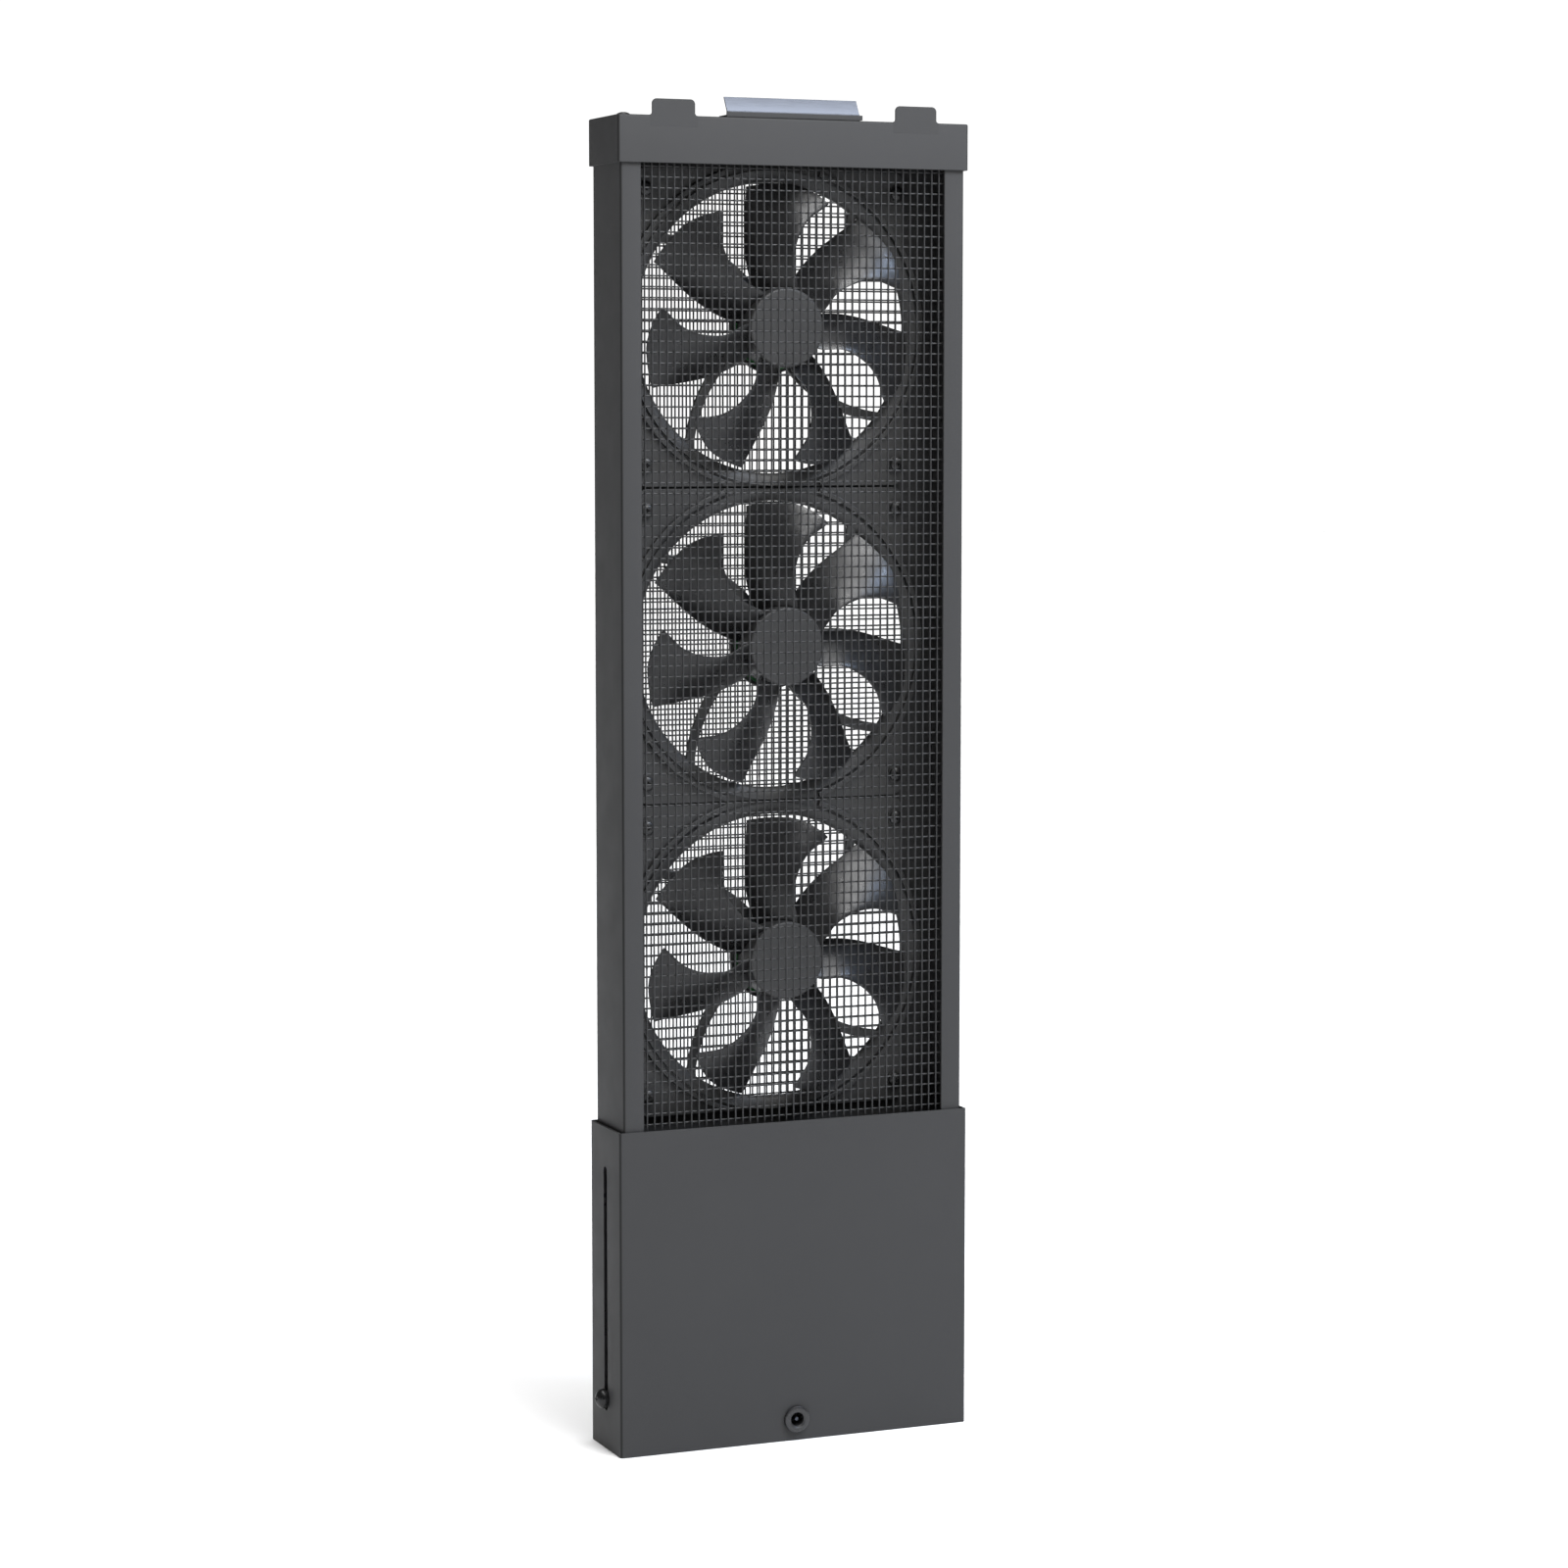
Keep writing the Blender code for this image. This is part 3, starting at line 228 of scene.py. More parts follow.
def finish_mesh(bm, name, sharp=20):
    bmesh.ops.recalc_face_normals(bm, faces=bm.faces)
    mesh = bpy.data.meshes.new(name)
    bm.to_mesh(mesh)
    bm.free()
    mesh.shade_smooth()
    mesh.set_sharp_from_angle(angle=math.radians(sharp))
    return mesh


def plate(name, outline, holes, depth, edge=EDGE):
    """A flat sheet with holes and softened edges: drawn in local XY, it grows along +Z."""
    soft = edge * (1 - math.sqrt(0.5))
    layers = [(edge, 0.0), (soft, soft), (0.0, edge),
              (0.0, depth - edge), (soft, depth - soft), (edge, depth)]
    loops = []
    for i, loop in enumerate([outline] + list(holes)):
        counter_clockwise = signed_area(loop) > 0
        loops.append(loop if counter_clockwise == (i == 0) else loop[::-1])
    bm = bmesh.new()
    ends = {0: [], len(layers) - 1: []}
    for loop in loops:
        previous = None
        for level, (amount, height) in enumerate(layers):
            ring = [bm.verts.new((x, y, height)) for x, y in inset(loop, amount)]
            if previous:
                for i, corner in enumerate(ring):
                    following = (i + 1) % len(ring)
                    bm.faces.new((previous[i], previous[following], ring[following], corner))
            if level in ends:
                ends[level] += [bm.edges.get((v, ring[(i + 1) % len(ring)]))
                                or bm.edges.new((v, ring[(i + 1) % len(ring)]))
                                for i, v in enumerate(ring)]
            previous = ring
    for edges in ends.values():
        bmesh.ops.triangle_fill(bm, use_beauty=True, use_dissolve=True, edges=edges)
    return finish_mesh(bm, name)


def stacked(name, loops, sharp=20):
    """Skin over loops of equal count, each a list of (x, y, z), closed at both ends."""
    bm = bmesh.new()
    rings = [[bm.verts.new(p) for p in loop] for loop in loops]
    for low, high in zip(rings, rings[1:]):
        for i in range(len(low)):
            j = (i + 1) % len(low)
            bm.faces.new((low[i], low[j], high[j], high[i]))
    bm.faces.new(rings[0])
    bm.faces.new(rings[-1])
    return finish_mesh(bm, name, sharp)


def turned(name, profile, facets, sharp=25):
    """A profile of (radius, length) points, turned round the local Z axis."""
    bm = bmesh.new()
    rings = []
    for radius, length in profile:
        if radius == 0:
            rings.append([bm.verts.new((0, 0, length))])
            continue
        rings.append([bm.verts.new((x, y, length)) for x, y in circle((0, 0), radius, facets)])
    closed = profile[0][0] != 0
    pairs = list(zip(rings, rings[1:]))
    if closed:
        pairs.append((rings[-1], rings[0]))
    for low, high in pairs:
        if len(low) == 1 and len(high) == 1:
            continue
        for i in range(facets):
            j = (i + 1) % facets
            if len(low) == 1:
                bm.faces.new((low[0], high[j], high[i]))
            elif len(high) == 1:
                bm.faces.new((low[i], low[j], high[0]))
            else:
                bm.faces.new((low[i], low[j], high[j], high[i]))
    return finish_mesh(bm, name, sharp)


def moved(mesh, matrix):
    mesh.transform(matrix)
    if matrix.determinant() < 0:
        mesh.flip_normals()
    return mesh


def joined(name, meshes):
    bm = bmesh.new()
    for mesh in meshes:
        bm.from_mesh(mesh)
    result = bpy.data.meshes.new(name)
    bm.to_mesh(result)
    bm.free()
    return result


def cut(mesh, cutters, sharp=20):
    """The mesh with the cutters taken out of it."""
    holder = bpy.data.objects.new("holder", mesh)
    bpy.context.scene.collection.objects.link(holder)
    tools = []
    for cutter in cutters:
        tool = bpy.data.objects.new("tool", cutter)
        bpy.context.scene.collection.objects.link(tool)
        tools.append(tool)
        modifier = holder.modifiers.new("cut", "BOOLEAN")
        modifier.operation = "DIFFERENCE"
        modifier.object = tool
        modifier.solver = "EXACT"
    bpy.context.view_layer.update()
    graph = bpy.context.evaluated_depsgraph_get()
    result = bpy.data.meshes.new_from_object(holder.evaluated_get(graph))
    for item in [holder] + tools:
        bpy.data.objects.remove(item, do_unlink=True)
    result.shade_smooth()
    result.set_sharp_from_angle(angle=math.radians(sharp))
    return result


ALONG_Y = Matrix.Rotation(-math.pi / 2, 4, "X")
ALONG_X = Matrix.Rotation(math.pi / 2, 4, "Y")


def upright_plane(depth_start):
    """Lays a plate drawn in local XY upright: drawn Y becomes Z, and it grows towards +Y."""
    turn = Matrix(((1, 0, 0, 0), (0, 0, 1, 0), (0, 1, 0, 0), (0, 0, 0, 1)))
    return Matrix.Translation((0, depth_start, 0)) @ turn


def channel_outline(leg, width, radius=BEND):
    """Section of a folded channel with rounded bends and rounded sheet edges."""
    inner = radius - SHEET
    half = width / 2
    nose = SHEET / 2
    points = arc((leg - nose, nose - half), nose, 0, -math.pi / 2, 4)
    points += arc((radius, radius - half), radius, 1.5 * math.pi, math.pi, 6)
    points += arc((radius, half - radius), radius, math.pi, 0.5 * math.pi, 6)
    points += arc((leg - nose, half - nose), nose, math.pi / 2, -math.pi / 2, 8)
    points += arc((SHEET + inner, half - SHEET - inner), inner, 0.5 * math.pi, math.pi, 4)
    points += arc((SHEET + inner, SHEET + inner - half), inner, math.pi, 1.5 * math.pi, 4)
    points += arc((leg - nose, nose - half), nose, math.pi / 2, 0, 4)[:-1]
    return points


def rod(bm, start, end, radius):
    """Adds a round wire between two points, with flat ends."""
    axis = (Vector(end) - Vector(start)).normalized()
    side = axis.orthogonal().normalized()
    across = axis.cross(side)
    rings = []
    for centre in (Vector(start), Vector(end)):
        ring = []
        for i in range(WIRE_FACETS):
            angle = 2 * math.pi * (i + 0.5) / WIRE_FACETS
            ring.append(bm.verts.new(centre + side * radius * math.cos(angle)
                                     + across * radius * math.sin(angle)))
        rings.append(ring)
    for i in range(WIRE_FACETS):
        j = (i + 1) % WIRE_FACETS
        bm.faces.new((rings[0][i], rings[0][j], rings[1][j], rings[1][i]))
    bm.faces.new(rings[0][::-1])
    bm.faces.new(rings[1])


# Finishes


class Nodes:
    """Short-hand for building one material's node tree."""

    def __init__(self, name):
        self.material = bpy.data.materials.new(name)
        self.material.use_nodes = True
        self.tree = self.material.node_tree
        self.shader = self.tree.nodes["Principled BSDF"]

    def add(self, kind, **settings):
        node = self.tree.nodes.new(kind)
        for key, value in settings.items():
            setattr(node, key, value)
        return node

    def link(self, output, target):
        self.tree.links.new(output, target)

    def value(self, name, value):
        self.shader.inputs[name].default_value = value

    def place(self):
        """Object coordinates, so that a finish keeps its real size."""
        return self.add("ShaderNodeTexCoord").outputs["Object"]

    def noise(self, scale, detail=2.0, roughness=0.5, stretch=None):
        texture = self.add("ShaderNodeTexNoise")
        texture.inputs["Scale"].default_value = scale
        texture.inputs["Detail"].default_value = detail
        texture.inputs["Roughness"].default_value = roughness
        source = self.place()
        if stretch:
            mapping = self.add("ShaderNodeMapping")
            mapping.inputs["Scale"].default_value = stretch
            self.link(source, mapping.inputs["Vector"])
            source = mapping.outputs["Vector"]
        self.link(source, texture.inputs["Vector"])
        return texture.outputs["Fac"]

    def spread(self, value, low, high, from_low=0.3, from_high=0.7):
        """Maps a texture's value to a range."""
        node = self.add("ShaderNodeMapRange")
        node.inputs["From Min"].default_value = from_low
        node.inputs["From Max"].default_value = from_high
        node.inputs["To Min"].default_value = low
        node.inputs["To Max"].default_value = high
        self.link(value, node.inputs["Value"])
        return node.outputs["Result"]

    def blend(self, factor, first, second):
        node = self.add("ShaderNodeMix", data_type="RGBA")
        for key, color in (("A", first), ("B", second)):
            socket = [s for s in node.inputs if s.name == key and s.type == "RGBA"][0]
            if isinstance(color, tuple):
                socket.default_value = (*color, 1)
            else:
                self.link(color, socket)
        self.link(factor, [s for s in node.inputs if s.name == "Factor"][0])
        return [s for s in node.outputs if s.type == "RGBA"][0]

    def bump(self, height, strength, distance):
        node = self.add("ShaderNodeBump")
        node.inputs["Strength"].default_value = strength
        node.inputs["Distance"].default_value = distance
        self.link(height, node.inputs["Height"])
        self.link(node.outputs["Normal"], self.shader.inputs["Normal"])

    def bend_shade_mask(self, flat=0.97, round_at=0.80):
        """One on bends and edges, nought on faces square to the part's axes; it marks where shade
        is painted.
        """
        geometry = self.add("ShaderNodeNewGeometry")
        split = self.add("ShaderNodeSeparateXYZ")
        self.link(geometry.outputs["Normal"], split.inputs[0])
        parts = []
        for axis in range(3):
            node = self.add("ShaderNodeMath", operation="ABSOLUTE")
            self.link(split.outputs[axis], node.inputs[0])
            parts.append(node.outputs[0])
        for _ in range(2):
            node = self.add("ShaderNodeMath", operation="MAXIMUM")
            self.link(parts.pop(), node.inputs[0])
            self.link(parts.pop(), node.inputs[1])
            parts.append(node.outputs[0])
        return self.spread(parts[0], 1, 0, round_at, flat)


def powder_coat():
    """Satin powder coat: fine orange peel, faint clouding, and painted shade darkening it along
    bends and edges.
    """
    n = Nodes("powder_coat_finish")
    cloud = n.spread(n.noise(9, 3), 0, 1)
    base = n.blend(cloud, (0.041, 0.041, 0.0415), (0.047, 0.047, 0.0475))
    speck = n.spread(n.noise(1400, 1), 0, 1, 0.35, 0.65)
    base = n.blend(speck, base, (0.044, 0.044, 0.0445))
    # Painted shade: the coat's colour turns near black along bends and edges
    n.link(n.blend(n.bend_shade_mask(), base, (0.016, 0.016, 0.016)), n.shader.inputs["Base Color"])
    n.link(n.spread(n.noise(60, 3), 0.50, 0.58), n.shader.inputs["Roughness"])
    n.value("Metallic", 0.0)
    n.value("Specular IOR Level", 0.11)
    n.bump(n.noise(700, 2), 0.25, 0.00004)
    return n.material


def guard_wire():
    """Drawn wire with a thin dark coat, worn a little brighter here and there."""
    n = Nodes("guard_wire_finish")
    cloud = n.spread(n.noise(40, 3), 0, 1, 0.42, 0.72)
    n.link(n.blend(cloud, (0.020, 0.020, 0.0205), (0.031, 0.031, 0.032)),
           n.shader.inputs["Base Color"])
    n.link(n.spread(n.noise(300, 2), 0.40, 0.54), n.shader.inputs["Roughness"])
    n.value("Metallic", 0.2)
    n.bump(n.noise(1500, 2), 0.2, 0.00003)
    return n.material


def moulded_plastic(name, dark, light, rough):
    """Fine-grained moulding with a soft sheen."""
    n = Nodes(name)
    cloud = n.spread(n.noise(25, 3), 0, 1)
    n.link(n.blend(cloud, dark, light), n.shader.inputs["Base Color"])
    n.link(n.spread(n.noise(180, 3), rough - 0.05, rough + 0.05), n.shader.inputs["Roughness"])
    n.value("Specular IOR Level", 0.5)
    n.bump(n.noise(1100, 2), 0.3, 0.00004)
    return n.material


def brushed_metal(name, dark, light, rough, stretch=(1, 30, 30), scale=120):
    """Metal with fine lines along one direction."""
    n = Nodes(name)
    lines = n.noise(scale, 4, 0.6, stretch)
    n.link(n.blend(n.spread(lines, 0, 1), dark, light), n.shader.inputs["Base Color"])
    n.link(n.spread(lines, rough - 0.08, rough + 0.08), n.shader.inputs["Roughness"])
    n.value("Metallic", 1.0)
    n.bump(lines, 0.15, 0.00003)
    return n.material


def black_screw():
    """Black oxide steel with a soft gloss."""
    n = Nodes("black_screw_finish")
    cloud = n.spread(n.noise(500, 3), 0, 1)
    n.link(n.blend(cloud, (0.005, 0.005, 0.005), (0.011, 0.011, 0.0115)),
           n.shader.inputs["Base Color"])
    n.link(n.spread(n.noise(900, 2), 0.24, 0.36), n.shader.inputs["Roughness"])
    n.value("Specular IOR Level", 0.25)
    n.value("Coat Weight", 0.05)
    n.value("Coat Roughness", 0.2)
    n.bump(n.noise(2500, 2), 0.15, 0.00002)
    return n.material


def winding():
    """Enamelled copper wire, wound round the poles."""
    n = Nodes("copper_finish")
    turns = n.add("ShaderNodeTexWave", wave_type="BANDS", bands_direction="Y")
    turns.inputs["Scale"].default_value = 900
    turns.inputs["Distortion"].default_value = 0.6
    n.link(n.place(), turns.inputs["Vector"])
    n.link(n.blend(turns.outputs["Fac"], (0.20, 0.06, 0.02), (0.62, 0.26, 0.11)),
           n.shader.inputs["Base Color"])
    n.link(n.spread(turns.outputs["Fac"], 0.45, 0.28, 0, 1), n.shader.inputs["Roughness"])
    n.value("Metallic", 0.85)
    n.bump(turns.outputs["Fac"], 0.5, 0.0001)
    return n.material


def circuit_board():
    """Green board with faint tracks under the solder mask."""
    n = Nodes("board_finish")
    tracks = n.add("ShaderNodeTexBrick")
    tracks.inputs["Scale"].default_value = 420
    tracks.inputs["Mortar Size"].default_value = 0.03
    tracks.inputs["Color1"].default_value = (0.012, 0.075, 0.028, 1)
    tracks.inputs["Color2"].default_value = (0.016, 0.095, 0.034, 1)
    tracks.inputs["Mortar"].default_value = (0.035, 0.16, 0.05, 1)
    n.link(n.place(), tracks.inputs["Vector"])
    n.link(tracks.outputs["Color"], n.shader.inputs["Base Color"])
    n.link(n.spread(n.noise(300, 2), 0.30, 0.42), n.shader.inputs["Roughness"])
    n.bump(tracks.outputs["Fac"], 0.4, 0.00005)
    return n.material


def sintered(name, dark, light, rough, metallic):
    """Grainy pressed metal or ferrite."""
    n = Nodes(name)
    grain = n.noise(1800, 4, 0.7)
    n.link(n.blend(n.spread(grain, 0, 1), dark, light), n.shader.inputs["Base Color"])
    n.link(n.spread(grain, rough - 0.08, rough + 0.08), n.shader.inputs["Roughness"])
    n.value("Metallic", metallic)
    n.bump(grain, 0.4, 0.00008)
    return n.material


FINISH = {
    "powder_coat": powder_coat(),
    "guard": guard_wire(),
    "fan_plastic": moulded_plastic("fan_plastic_finish", (0.037, 0.037, 0.037),
                                   (0.043, 0.043, 0.043), 0.50),
    "silver": brushed_metal("silver_finish", (0.074, 0.081, 0.097), (0.098, 0.107, 0.127), 0.46),
    "black_screw": black_screw(),
    "steel": brushed_metal("steel_finish", (0.40, 0.40, 0.39), (0.58, 0.58, 0.56), 0.34,
                           (1, 1, 1), 900),
    "bronze": sintered("bronze_finish", (0.30, 0.17, 0.07), (0.50, 0.32, 0.15), 0.42, 1.0),
    "copper": winding(),
    "magnet": sintered("magnet_finish", (0.035, 0.035, 0.036), (0.06, 0.06, 0.062), 0.62, 0.2),
    "board": circuit_board(),
    "socket": moulded_plastic("socket_finish", (0.012, 0.012, 0.013), (0.020, 0.020, 0.021),
                              0.30),
}
SCREW_FINISH = brushed_metal("dark_steel_finish", (0.050, 0.050, 0.050), (0.090, 0.090, 0.090),
                             0.42, (1, 1, 1), 900)
BLADE_FINISH = moulded_plastic("blade_finish", (0.012, 0.012, 0.0125), (0.016, 0.016, 0.0165), 0.31)

for node, item in NODES.items():
    item.data.materials.clear()
    item.data.materials.append(FINISH[SLOT_OF[node]])


def stand_in(node, mesh, place=(0, 0, 0), turn=(0, 0, 0)):
    """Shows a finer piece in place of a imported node, on the same body and in its finish."""
    item = bpy.data.objects.new(node + "_finished", mesh)
    bpy.context.scene.collection.objects.link(item)
    item.location = place
    item.rotation_euler = turn
    if not mesh.materials:
        mesh.materials.append(FINISH[SLOT_OF[node]])
    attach(item, NODES[node]["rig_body"])
    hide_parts(node)


# Sleeve


def build_sleeve():
    outline = rounded_rectangle(SLEEVE_WIDTH, SLEEVE_DEPTH, BEND)
    inside = rounded_rectangle(SLEEVE_WIDTH - 2 * SHEET, SLEEVE_DEPTH - 2 * SHEET, BEND - SHEET)
    tube = plate("sleeve_sheet", outline, [inside], SLEEVE_HEIGHT, edge=0.0002)
    reach = (SLOT_TOP - SLOT_BOTTOM - SLOT_WIDTH) / 2
    outline = arc((reach, 0), SLOT_WIDTH / 2, -math.pi / 2, math.pi / 2, 16)
    outline += arc((-reach, 0), SLOT_WIDTH / 2, math.pi / 2, 1.5 * math.pi, 16)
    length = SLEEVE_WIDTH + 2 * SHEET
    slot = plate("slot", outline, [], length)
    slot = moved(slot, Matrix.Translation((-length / 2, 0, (SLOT_TOP + SLOT_BOTTOM) / 2))
                 @ ALONG_X)
    hole = plate("hole", circle((0, 0), SOCKET_HOLE_RADIUS, SMALL_FACETS), [], 4 * SHEET)
    hole = moved(hole, Matrix.Translation((0, SLEEVE_FRONT - 2 * SHEET, SOCKET_HEIGHT)) @ ALONG_Y)
    shell = cut(tube, [slot, hole])
    shell.materials.append(FINISH["powder_coat"])
    shell.materials.append(FINISH["socket"])
    # Painted shade: the slot's cut walls take the black socket finish, so the slot reads as dark as
    # deep shadow
    for face in shell.polygons:
        below_skin = (SLEEVE_WIDTH / 2 - abs(face.center.x)) / SHEET
        shaded_slot_wall = 0.1 < below_skin < 0.9 and abs(face.normal.x) < 0.5
        face.material_index = 1 if shaded_slot_wall and abs(face.center.y) < SLOT_WIDTH else 0
    stand_in("sleeve_shell", shell)

    width = SLEEVE_WIDTH - 2 * (SHEET + GAP)
    depth = SLEEVE_DEPTH - 2 * (SHEET + GAP)
    foot = plate("sleeve_foot_sheet", channel_outline(FOOT_LEG, width), [], depth)
    stand = Matrix(((0, 1, 0, 0), (0, 0, 1, 0), (1, 0, 0, 0), (0, 0, 0, 1)))
    stand_in("sleeve_foot", moved(foot, Matrix.Translation((0, -depth / 2, 0)) @ stand))


def build_socket():
    face = -GAP - SOCKET_FLANGE
    body = [(0.0011, 0.0140), (0.0036, 0.0140), (0.0039, 0.0137), (0.0039, -GAP), (0.0061, -GAP),
            (0.0061, face + 0.0006), (0.0060, face + 0.0003), (0.0057, face + 0.0001),
            (0.0053, face), (0.0040, face), (0.0037, face + 0.0002), (0.0035, face + 0.0003),
            (0.0033, face + 0.0003), (0.0031, face + 0.0006), (0.0031, face + 0.0090),
            (0.0011, face + 0.0090)]
    pin = [(0, face + 0.0010), (0.0004, face + 0.0010), (0.0008, face + 0.0012),
           (0.0010, face + 0.0016), (0.0010, 0.0140), (0, 0.0140)]
    place = (0, SLEEVE_FRONT, SOCKET_HEIGHT)
    stand_in("socket_body", moved(turned("socket_shell", body, SMALL_FACETS), ALONG_Y), place)
    stand_in("socket_pin", moved(turned("socket_contact", pin, FINE_FACETS), ALONG_Y), place)
    nut = plate("socket_hexagon", circle((0, 0), 0.0062, 6),
                [circle((0, 0), 0.0040, SMALL_FACETS)], 0.0022, edge=0.0003)
    stand_in("socket_nut", moved(nut, upright_plane(SHEET + GAP)), place)


# Sliding frame


def build_channels():
    for name, side in (("left", -1), ("right", 1)):
        outline = channel_outline(FLANGE_WIDTH, FRAME_DEPTH)
        if side > 0:
            outline = [(-x, y) for x, y in outline]
        mesh = plate(name + "_channel_sheet", outline, [], FRAME_TOP - FRAME_FOOT)
        place = Matrix.Translation((side * FRAME_WIDTH / 2, 0, FRAME_FOOT))
        stand_in(name + "_side_channel", moved(mesh, place))


def build_members():
    depth = PLATE_Y - GAP - (FRONT_CROSSWIRES_Y + WIRE + GAP)
    middle = (PLATE_Y + FRONT_CROSSWIRES_Y + WIRE) / 2
    for name, height_at, up in (("bottom_member", MEMBER_FOOT, True),
                                ("top_member", FRAME_TOP, False)):
        bar = plate(name + "_sheet", channel_outline(MEMBER_HEIGHT, depth), [], INNER_WIDTH)
        tip = Matrix.Rotation(-math.pi / 2 if up else math.pi / 2, 4, "Y")
        start = INNER_WIDTH / 2 if up else -INNER_WIDTH / 2
        stand_in(name, moved(bar, Matrix.Translation((start, middle, height_at)) @ tip))


def ear_screw_places():
    return [(sx * EAR_SCREW_X, sz * EAR_SCREW_Z) for sz in (-1, 1) for sx in (-1, 1)]


def build_fan_plate():
    low, high = MEMBER_FOOT, FRAME_TOP - GAP
    half = INNER_WIDTH / 2
    outline = [(-half, low), (half, low), (half, high), (-half, high)]
    holes = []
    for height in FAN_HEIGHTS.values():
        holes.append(circle((0, height), DUCT_RADIUS + LIP_HEIGHT, RING_FACETS))
        for x, z in ear_screw_places():
            holes.append(circle((x, height + z), SCREW_HOLE_RADIUS, FINE_FACETS))
    mesh = plate("fan_plate_sheet", outline, holes, SHEET)
    stand_in("fan_plate", moved(mesh, upright_plane(PLATE_Y)))


def build_guard(side, uprights_y, crosswires_y):
    """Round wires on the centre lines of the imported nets."""
    low, high = MEMBER_FOOT, FRAME_TOP - GAP
    radius = WIRE / 2
    span = INNER_WIDTH - 2 * GUARD_HEM
    count = round(span / UPRIGHT_PITCH)
    bm = bmesh.new()
    for i in range(count + 1):
        x = UPRIGHT_PITCH * (i - count / 2)
        y = uprights_y + radius
        rod(bm, (x, y, low + UPRIGHT_END), (x, y, high - UPRIGHT_END), radius)
    stand_in(side + "_guard_uprights", finish_mesh(bm, side + "_uprights", 60))
    height = high - low - 2 * GUARD_END
    count = round(height / CROSSWIRE_PITCH)
    step = height / count
    bm = bmesh.new()
    for i in range(count + 1):
        z = low + GUARD_END + step * i
        y = crosswires_y + radius
        rod(bm, (-INNER_WIDTH / 2, y, z), (INNER_WIDTH / 2, y, z), radius)
    stand_in(side + "_guard_crosswires", finish_mesh(bm, side + "_crosswires", 60))


# Cap


def cap_lid():
    """Lid folded over the frame, with rounded bends round its top."""
    def ring(drop, height, radius):
        loop = rounded_rectangle(CAP_WIDTH - 2 * drop, CAP_DEPTH - 2 * drop, radius)
        return [(x, y, height) for x, y in loop]
    inner = BEND - SHEET
    loops = [ring(SHEET, CAP_TOP - SHEET, inner), ring(SHEET, CAP_SKIRT + EDGE, inner),
             ring(SHEET - EDGE, CAP_SKIRT, inner + EDGE), ring(EDGE, CAP_SKIRT, BEND - EDGE),
             ring(0, CAP_SKIRT + EDGE, BEND)]
    for i in range(6):
        angle = i / 5 * math.pi / 2
        drop = CAP_FOLD * (1 - math.cos(angle))
        loops.append(ring(drop, CAP_TOP - CAP_FOLD * (1 - math.sin(angle)), BEND - drop))
    return stacked("cap_lid", loops)


def tab(centre):
    half = TAB_WIDTH / 2
    right = [(half + TAB_FILLET, -TAB_ROOT), (half + TAB_FILLET, 0)]
    right += arc((half + TAB_FILLET, TAB_FILLET), TAB_FILLET, 1.5 * math.pi, math.pi, 6)[1:]
    right += arc((half - TAB_CORNER, TAB_RISE - TAB_CORNER), TAB_CORNER, 0, 0.5 * math.pi, 10)
    outline = [(x + centre, z + CAP_TOP) for x, z in right + [(-x, z) for x, z in right[::-1]]]
    return moved(plate("tab", outline, [], SHEET), upright_plane(CAP_FRONT - TAB_PROUD))


def cross_recess(width, length, depth):
    """Cutter for a cross recess, centred on the local Z axis, down from zero."""
    half, arm = width / 2, length / 2
    outline = [(arm, -half), (arm, half), (half, half), (half, arm), (-half, arm), (-half, half),
               (-arm, half), (-arm, -half), (-half, -half), (-half, -arm), (half, -arm),
               (half, -half)]
    low = [(x * RECESS_TAPER, y * RECESS_TAPER, -depth) for x, y in outline]
    high = [(x, y, depth) for x, y in outline]
    return stacked("recess", [low, high])


def screw(name, head_radius, head_height, shank_radius, length, rim, recess):
    """Screw along local Z with a domed head and a cross recess."""
    profile = [(0, -length), (shank_radius * 0.8, -length),
               (shank_radius, -length + shank_radius * 0.2), (shank_radius, 0),
               (head_radius - EDGE, 0), (head_radius, EDGE), (head_radius, rim)]
    for i in range(1, 9):
        angle = i / 8 * math.pi / 2
        profile.append((head_radius * math.cos(angle) if i < 8 else 0,
                        rim + (head_height - rim) * math.sin(angle)))
    mesh = turned(name, profile, SMALL_FACETS, SCREW_SHARP)
    tool = moved(cross_recess(*recess), Matrix.Translation((0, 0, head_height)))
    return cut(mesh, [tool], SCREW_SHARP)


def build_cap():
    stand_in("top_cap", joined("cap", [cap_lid(), tab(-TAB_CENTRE), tab(TAB_CENTRE)]))


def build_strip():
    """Sprung strip, with a bead along its root, and the rail that holds it."""
    front = CAP_FRONT + STRIP_SETBACK - STRIP_BEAD - GAP - RAIL_THICK
    outline = [(front, 0), (RAIL_REAR, 0), (RAIL_REAR, RAIL_THICK),
               (front + RAIL_THICK, RAIL_THICK), (front + RAIL_THICK, RAIL_LIP),
               (front, RAIL_LIP)]
    length = STRIP_LENGTH + 2 * RAIL_THICK
    stand = Matrix(((0, 0, 1, 0), (1, 0, 0, 0), (0, 1, 0, 0), (0, 0, 0, 1)))
    rail = plate("rail", outline, [], length)
    stand_in("strip_rail", moved(rail, Matrix.Translation((-length / 2, 0, CAP_TOP + GAP))
                                 @ stand))
    rise = STRIP_RISE / math.cos(STRIP_LEAN)
    half = STRIP_THICK / 2
    edge = math.asin(half / STRIP_BEAD)
    outline = arc((0, 0), STRIP_BEAD, 0.5 * math.pi + edge, 2.5 * math.pi - edge, 24)
    outline += arc((0, rise - half), half, 0, math.pi, 6)
    strip = plate("strip", outline, [], STRIP_LENGTH)
    strip = moved(strip, Matrix.Rotation(-STRIP_LEAN, 4, "X")
                  @ Matrix.Translation((-STRIP_LENGTH / 2, 0, 0)) @ stand)
    stand_in("spring_strip", strip, (0, CAP_FRONT + STRIP_SETBACK, RAIL_TOP + STRIP_BEAD))


